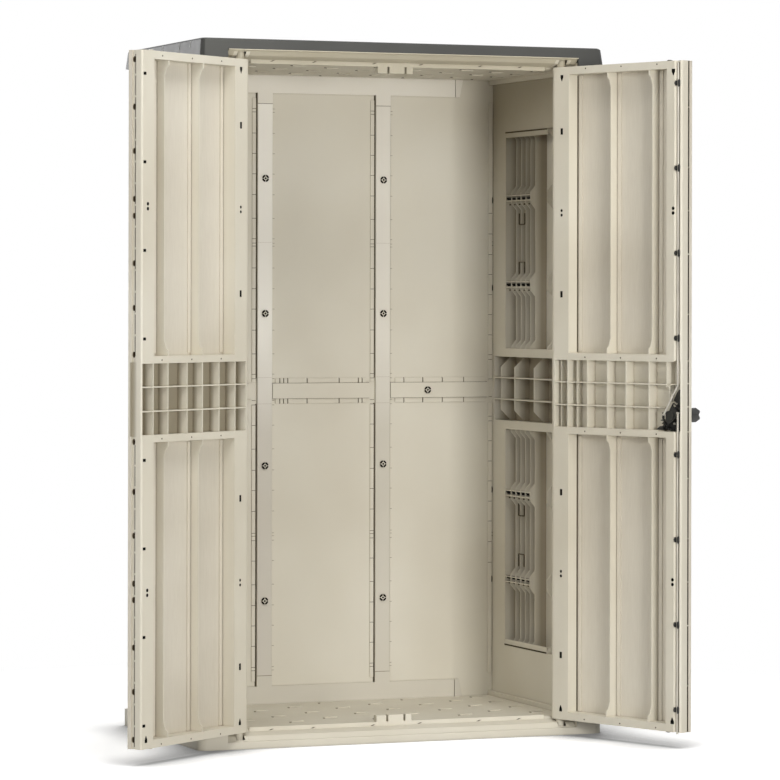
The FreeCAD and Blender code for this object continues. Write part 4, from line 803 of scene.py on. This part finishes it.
def hole_details(side):
    dark = door_detail(side, "hole_bottom_shades", HOLE, "black_plastic")
    centre = MODULE / 2
    hinge_x, free_x = -side * HOLE_REACH, -side * FREE_PAIR_REACH[side]
    for level in (0, 1):

        def lift(height):
            return DOOR_FOOT + height if level == 0 else DOOR_TOP - height

        for height in around(centre, HOLE_PITCH):
            dark.block(around(hinge_x, HOLE_HALF[0]), HOLE_SHADE_DEPTH,
                       around(lift(height), HOLE_HALF[1]))
        for height in shifted(centre, PAIR_RISES):
            dark.prism(regular(hinge_x, lift(height), *PAIR_HOLE), "XZ", *HOLE_SHADE_DEPTH)
            dark.prism(regular(free_x, lift(height), *FREE_PAIR_HOLE), "XZ", *FACE_MARK)
        tips = [lift(height) for height in shifted(centre - END_HOLE, END_HOLE_TIPS)]
        dark.prism(teardrop(hinge_x, *tips, END_HOLE_HALF), "XZ", *HOLE_SHADE_DEPTH)
        if side == RIGHT:
            dark.prism(teardrop(free_x, *tips, FREE_END_HALF), "XZ", *FACE_MARK)
            continue
        for step in QUARTERS:
            z = lift(centre + step * QUARTER_PITCH)
            dark.block(around(SQUARE_REACH, SQUARE_HALF[0]), FACE_MARK,
                       around(z, SQUARE_HALF[1]))
        if level == 0:
            tips = map(lift, FREE_TEARDROP_TIPS)
            dark.prism(teardrop(FREE_TEARDROP_REACH, *tips, END_HOLE_HALF), "XZ", *FACE_MARK)
    dark.finish()
    dots = door_detail(side, "rail_dot_shades", SHADE)
    for z in (*DOT_LEVELS, DOOR_TOP - DOT_DROP[side]):
        for reach in DOT_REACHES:
            dots.prism(regular(-side * reach, z, *DOT), "XZ", *DOT_MARK)
    dots.finish()


# Dark joint between the right door's inner frame and its skin, down the hinge stile.
STILE_SLIT = (-48.35, -47.6)
STILE_SLIT_DEPTH = (-16.3, -12.6)
STILE_SLIT_SPANS = ((DOOR_FOOT + 22, GRID_FOOT - 17), (GRID_TOP + 17, DOOR_TOP - 22))


def stile_slit():
    slit = door_detail(RIGHT, "board_slits", SHADE)
    for span in STILE_SLIT_SPANS:
        slit.block(STILE_SLIT, STILE_SLIT_DEPTH, span)
    slit.finish()


# Left door's free edge: oval sockets and a broken slit in the groove, cells beside the grid, all
# drawn as dark marks of painted shade.
GROOVE_FLOOR = 441
GROOVE_MIDDLE = -7.0
GROOVE_MARK = shifted(GROOVE_FLOOR, (-0.2, 0.3))
GROOVE_HIGH_MARK = shifted(GROOVE_FLOOR, (-0.2, 0.5))
EDGE_OVALS = (1725, 1609, 1501, 1384, 1343, 1227, 1118, 1004, 791, 669, 562, 445, 405, 289,
              181, 64)
EDGE_OVAL = (4.3, 12, 1.8)
OVAL_SLIT = (2.0, 8, 2.8)
OVAL_SLIT_SHIFT = 1.2
OVAL_SLIT_MARK = shifted(GROOVE_FLOOR, (0.2, 0.5))
DASH_PITCH = 53
DASH_START = 6
DASH_GAP = 5
DASH_DEPTH = (-4.4, -2.6)
GRID_TABS = shifted(GRID_FOOT, (0, 64, 123, 181))
CELL_EDGE_DEPTH = (-11.4, -0.2)
CELL_INSET = 2.5
CELL_BAR_DROP = (-9, -4)


def free_edge_details():
    ovals = door_detail(LEFT, "edge_socket_shades", SHADE)
    slit = door_detail(LEFT, "edge_slit_shade", SLIT_SHADE)
    for z in EDGE_OVALS:
        ovals.prism(regular(GROOVE_MIDDLE, z, *EDGE_OVAL), "YZ", *GROOVE_MARK)
        slit.prism(regular(GROOVE_MIDDLE + OVAL_SLIT_SHIFT, z, *OVAL_SLIT), "YZ", *OVAL_SLIT_MARK)
    for i in range(int((DOOR_TOP - DOOR_FOOT) / DASH_PITCH)):
        low = DOOR_FOOT + DASH_START + i * DASH_PITCH
        if GRID_FOOT - DASH_PITCH < low < GRID_TOP:
            continue
        slit.block(GROOVE_MARK, DASH_DEPTH, (low, low + DASH_PITCH - DASH_GAP))
    cells = door_detail(LEFT, "edge_cell_shades", SOFT_SHADE)
    for low, high in zip(GRID_TABS, GRID_TABS[1:]):
        cells.block(GROOVE_MARK, CELL_EDGE_DEPTH, (low + CELL_INSET, high - CELL_INSET))
    slit.block(GROOVE_HIGH_MARK, CELL_EDGE_DEPTH, shifted(GRID_TABS[1], CELL_BAR_DROP))
    cells.finish()
    ovals.finish()
    slit.finish()


def quarter_marks(foot):
    """Heights of the four rod clips of a module."""
    return [foot + MODULE / 2 + step * QUARTER_PITCH for step in QUARTERS]


# Rounded outer halves of the rod clips, and a small nub on each inner jaw.
EAR_REACH = ROD_REACH + 6.6
EAR = (3.8, 12, 2.6)
EAR_DEPTH = shifted(DOOR_FACE, (-1.6, 1.4))
NUB_REACH = ROD_REACH - 5.9
NUB = (3.0, 10, 1.4)
NUB_DEPTH = shifted(DOOR_FACE, (-1.4, 1.6))


def clip_details():
    ears = door_detail(RIGHT, "clip_ears", BLACK, "black_plastic")
    for foot in (DOOR_FOOT, GRID_TOP):
        for z in quarter_marks(foot):
            ears.prism(regular(-EAR_REACH, z, *EAR), "XZ", *EAR_DEPTH)
            ears.prism(regular(-NUB_REACH, z, *NUB), "XZ", *NUB_DEPTH)
    ears.finish(1.0)


# Painted shade at the bottom of the slit in the right door's free edge, broken by small tabs.
SLIT_TAB_RISES = (-263.5, -110.5, 0, 110.5, 263.5)
SLIT_FLOOR = (0.3 - DOOR_REACH, 1.6 - DOOR_REACH)
SLIT_DEPTH = (-11.7, -6.9)
SLIT_TAB_HALF = 1.6
SLIT_END = 0.6


def slit_details():
    slit = door_detail(RIGHT, "edge_slit_shade", SLIT_SHADE)
    tabs = list(GRID_TABS)
    for foot in (DOOR_FOOT, GRID_TOP):
        tabs += shifted(foot + MODULE / 2, SLIT_TAB_RISES)
    levels = [DOOR_FOOT - SLIT_END, *sorted(tabs), DOOR_TOP + SLIT_END]
    for low, high in zip(levels, levels[1:]):
        slit.block(SLIT_FLOOR, SLIT_DEPTH, (low + SLIT_TAB_HALF, high - SLIT_TAB_HALF))
    slit.finish()


# Trough under the latch rods, which leaves them 0.4 mm clear and stops short of the clips.
TROUGH = ((421.6, 19.35), (424.2, 17.2), (426.2, 13.2), (428.4, 11.2), (431, 10.7), (433.6, 11.2),
          (436.2, 13.4), (438.6, 16.6), (441.3, 17.4))
TROUGH_FLOOR = 9.4
TROUGH_END = 0.5
CLIP_CLEARANCE = 6.5


def channel_lining():
    lining = door_detail(RIGHT, "rod_trough", BEIGE)
    first, last = TROUGH[0][0], TROUGH[-1][0]
    outline = [(-reach, y) for reach, y in (*TROUGH, (last, TROUGH_FLOOR), (first, TROUGH_FLOOR))]
    for foot, top in ((DOOR_FOOT, GRID_FOOT), (GRID_TOP, DOOR_TOP)):
        clips = quarter_marks(foot)
        starts = [foot + TROUGH_END] + [z + CLIP_CLEARANCE for z in clips]
        ends = [z - CLIP_CLEARANCE for z in clips] + [top - TROUGH_END]
        for low, high in zip(starts, ends):
            lining.prism(outline, "XY", low, high)
    lining.finish()


# Latch: a fan of ribs on its bracket, a rivet beside the cam, and a broad arm up to the stile.
HUB_REACH = 405
HUB_Z = 845.5
BRACKET_FACE = -4.8
LATCH_RIBS = 11
LATCH_RIB_START = 200
LATCH_RIB_TURN = 13
LATCH_RIB_SPAN = (34.0, 40.0)
LATCH_RIB_HALF = 1.1
LATCH_RIB_DEPTH = shifted(BRACKET_FACE, (-4, 14))
LATCH_ARM = ((413, 884), (423, 877), (440.5, 899), (440.5, 911), (431, 912), (424, 905))
LATCH_ARM_DEPTH = shifted(BRACKET_FACE, (-4, 15))
RIVET_PLACE = (HUB_REACH + 4, HUB_Z - 21)
RIVET = (2.8, 12)
RIVET_DEPTH = shifted(BRACKET_FACE, (-0.5, 9))


def latch_details():
    ribs = door_detail(RIGHT, "latch_ribs", BLACK, "black_plastic")
    near, far = LATCH_RIB_SPAN
    half = LATCH_RIB_HALF
    for step in range(LATCH_RIBS):
        angle = math.radians(LATCH_RIB_START + LATCH_RIB_TURN * step)
        ahead = (math.cos(angle), math.sin(angle))
        corners = [(near, -half), (far, -half), (far, half), (near, half)]
        ribs.prism([(-(HUB_REACH + r * ahead[0] - k * ahead[1]),
                     HUB_Z + r * ahead[1] + k * ahead[0]) for r, k in corners],
                   "XZ", *LATCH_RIB_DEPTH)
    ribs.prism([(-reach, z) for reach, z in LATCH_ARM], "XZ", *LATCH_ARM_DEPTH)
    ribs.finish(0.5)
    rivet = door_detail(RIGHT, "latch_rivet", STEEL, "rod_steel")
    rivet.prism(regular(-RIVET_PLACE[0], RIVET_PLACE[1], *RIVET), "XZ", *RIVET_DEPTH)
    rivet.finish(0.6)


# Coves at the hinge corners: the nosing runs on across each scoop, on both sides of the pivot
# boss. The cove is given by distances from the front, and heights.
SCOOP = 21.9
BOSS_GAP = 11.6
COVE = ((7.5, 21.5), (16.5, 31), (34.5, 36.5), (44, 38))
COVE_THICK = 2


def corner_covers():
    """Closes each scoop beside its pivot boss, along the slope of the cove."""
    line = [(FRONT + depth, height) for depth, height in COVE]
    sill = line + [(y, height - COVE_THICK) for y, height in line[::-1]]
    lintel = [(y, mirrored(height)) for y, height in sill]
    for word, outline in (("sill", sill), ("lintel", lintel)):
        cover = cabinet_detail(f"{word}_scoop_covers", BEIGE)
        for side in (LEFT, RIGHT):
            middle = JOINTS[f"{SIDE_NAMES[side]}_door_hinge"]["pos_m"][0] / MM
            for span in ((-SCOOP, -BOSS_GAP), (BOSS_GAP, SCOOP)):
                cover.prism(outline, "YZ", *shifted(middle, span))
        cover.finish()


# The grid beside the latch has thin uprights in its two cells at the hinge.
UPRIGHT_REACHES = (12, 70)
UPRIGHT_HALF = 0.8
UPRIGHT_DEPTH = shifted(DOOR_FACE, (-28.5, -10))
UPRIGHT_HEIGHTS = (GRID_FOOT + 3, GRID_TOP - 3)


def grid_uprights():
    uprights = door_detail(RIGHT, "grid_uprights", BEIGE)
    for reach in UPRIGHT_REACHES:
        uprights.block(around(-reach, UPRIGHT_HALF), UPRIGHT_DEPTH, UPRIGHT_HEIGHTS)
    uprights.finish()


# Behind, the joints between the back wall's panels show as fine seams.
SEAM_HALF = 0.7
SEAM_DEPTH = shifted(BACK_FACE, (-0.5, 0.15))


def back_seams():
    seams = cabinet_detail("back_seams", SHADE)
    for level in ("lower", "upper"):
        centre = f"back_panel_centre_{level}"
        heights = (face_of(centre, 2, 0), face_of(centre, 2, 1))
        for edge in (0, 1):
            seams.block(around(face_of(centre, 0, edge), SEAM_HALF), SEAM_DEPTH, heights)
    width = (face_of("back_panel_left_lower", 0, 0), face_of("back_panel_right_lower", 0, 1))
    middle = face_of("back_panel_centre_lower", 2, 1)
    seams.block(width, SEAM_DEPTH, around(middle, SEAM_HALF))
    seams.finish()


# Seams where the beams' tabs meet the posts.
TAB_SEAM_HALF = 0.8
TAB_SEAM_DEPTH = shifted(POST_FACE, (-0.15, 0.3))


def tab_seams():
    seams = cabinet_detail("beam_tab_seams", SOFT_SHADE)
    for joint in (JOINT_LEFT, JOINT_RIGHT):
        for z in (BEAM_TOP, mirrored(BEAM_TOP)):
            seams.block((joint, joint + POST_WIDTH), TAB_SEAM_DEPTH, around(z, TAB_SEAM_HALF))
    seams.finish()


for level in (0, 1):
    deck_details(level)
back_strip_details()
mid_rail_details()
screw_details()
roof_details()
for side in (LEFT, RIGHT):
    corner_details(side)
    side_wall_details(side)
    hole_details(side)
stile_slit()
free_edge_details()
slit_details()
channel_lining()
clip_details()
latch_details()
corner_covers()
tab_seams()
grid_uprights()
back_seams()


# Stage: a floor that fades to white between two distances, in metres, and its contact shadow,
# painted into its colour and glow.
FLOOR_TONES = (0.92, 0.92, 0.92), (0.94, 0.94, 0.94)
FLOOR_HALF = 30
FLOOR_FADE = (1.1, 1.9)
FLOOR_GLOW = 0.6
CONTACT_REACH = 0.2
CONTACT_SHADOW_TONE = (0.2, 0.2, 0.2)
CONTACT_OPEN = (0.5, 0.95)
WORLD_LIGHT = 0.05


def viewing_ray(tree):
    """One for rays from the camera and for those in gloss or through glass, else nought."""
    path = tree.nodes.new("ShaderNodeLightPath")
    first = tree.nodes.new("ShaderNodeMath")
    first.operation = "MAXIMUM"
    both = tree.nodes.new("ShaderNodeMath")
    both.operation = "MAXIMUM"
    tree.links.new(path.outputs["Is Camera Ray"], first.inputs[0])
    tree.links.new(path.outputs["Is Glossy Ray"], first.inputs[1])
    tree.links.new(first.outputs[0], both.inputs[0])
    tree.links.new(path.outputs["Is Transmission Ray"], both.inputs[1])
    return both.outputs[0]


def add_stage():
    """A white floor that keeps the object's shadow near it, with a contact shadow painted into its colour and
    glow, and fades to plain white.
    """
    s = Shader("floor")
    tone = s.ramp(s.noise(3, 2), [(0.3, FLOOR_TONES[0]), (0.7, FLOOR_TONES[1])])
    # Painted shadow: the floor's colour and glow darken where the object comes close.
    open_place = s.add("ShaderNodeAmbientOcclusion", Distance=CONTACT_REACH)
    contact = s.ramp(open_place.outputs["AO"],
                     [(CONTACT_OPEN[0], CONTACT_SHADOW_TONE), (CONTACT_OPEN[1], WHITE)])
    s.colour(s.mix(1.0, tone, contact, "MULTIPLY"))
    s.shader.inputs["Roughness"].default_value = 0.9
    s.shader.inputs["Specular IOR Level"].default_value = 0.1
    glow = s.add("ShaderNodeEmission", Strength=FLOOR_GLOW)
    s.link(contact, glow.inputs["Color"])
    lit = s.add("ShaderNodeAddShader")
    s.link(s.shader.outputs[0], lit.inputs[0])
    s.link(glow.outputs[0], lit.inputs[1])
    white = s.add("ShaderNodeEmission", Strength=1.0)
    reach = s.add("ShaderNodeVectorMath")
    reach.operation = "LENGTH"
    s.link(s.place, reach.inputs[0])
    far = s.add("ShaderNodeMapRange")
    far.inputs["From Min"].default_value, far.inputs["From Max"].default_value = FLOOR_FADE
    s.link(reach.outputs["Value"], far.inputs["Value"])
    seen = s.mix_shaders(far.outputs["Result"], lit.outputs[0], white.outputs[0])
    surface = s.mix_shaders(viewing_ray(s.tree), s.shader.outputs[0], seen)
    s.link(surface, s.tree.nodes["Material Output"].inputs["Surface"])
    low, high = -FLOOR_HALF, FLOOR_HALF
    corners = [(low, low, 0), (high, low, 0), (high, high, 0), (low, high, 0)]
    mesh = bpy.data.meshes.new("floor")
    mesh.from_pydata(corners, [], [(0, 1, 2, 3)])
    floor = bpy.data.objects.new("floor", mesh)
    bpy.context.scene.collection.objects.link(floor)
    paint(floor, s.material)


def add_lamp(name, place, target, size, power, colour):
    data = bpy.data.lights.new(name, "AREA")
    data.shape = "RECTANGLE"
    data.size, data.size_y = size
    data.energy = power
    data.color = colour
    lamp = bpy.data.objects.new(name, data)
    lamp.location = place
    direction = Vector(target) - Vector(place)
    lamp.rotation_euler = direction.to_track_quat("-Z", "Y").to_euler()
    bpy.context.scene.collection.objects.link(lamp)


def add_world():
    world = bpy.data.worlds.new("studio")
    bpy.context.scene.world = world
    world.use_nodes = True
    tree = world.node_tree
    light = tree.nodes["Background"]
    light.inputs["Color"].default_value = (1, 1, 1, 1)
    light.inputs["Strength"].default_value = WORLD_LIGHT
    white = tree.nodes.new("ShaderNodeBackground")
    white.inputs["Color"].default_value = (1, 1, 1, 1)
    white.inputs["Strength"].default_value = 1.0
    mix = tree.nodes.new("ShaderNodeMixShader")
    tree.links.new(viewing_ray(tree), mix.inputs["Fac"])
    tree.links.new(light.outputs[0], mix.inputs[1])
    tree.links.new(white.outputs[0], mix.inputs[2])
    tree.links.new(mix.outputs[0], tree.nodes["World Output"].inputs["Surface"])


# Lamps: where each stands and what it looks at, in metres, its size, watts and colour.
PLAIN = (1, 1, 1)
WARM = (1, 0.99, 0.97)
LAMPS = (
    ("front", (0.5, -8.0, 1.3), (0, 0, 0.9), (1.5, 1.5), 290, WARM),
    ("high_left", (-4.0, -4.6, 3.2), (0, -0.1, 0.9), (1.6, 1.6), 84, PLAIN),
    ("low_left", (-5.0, -2.2, 1.3), (0, -0.3, 0.8), (1.2, 1.2), 22, PLAIN),
    ("top", (0.0, -2.0, 4.5), (0, -0.1, 0.9), (2.0, 2.0), 85, PLAIN),
    ("back_right", (2.8, 5.4, 2.4), (0, 0.2, 0.9), (2.0, 2.0), 120, PLAIN),
    ("back_left", (-1.8, 5.8, 2.2), (0, 0.2, 0.9), (2.0, 2.0), 90, PLAIN))

add_camera()
add_world()
add_stage()
for lamp in LAMPS:
    add_lamp(*lamp)
bpy.context.scene.view_settings.view_transform = "Standard"
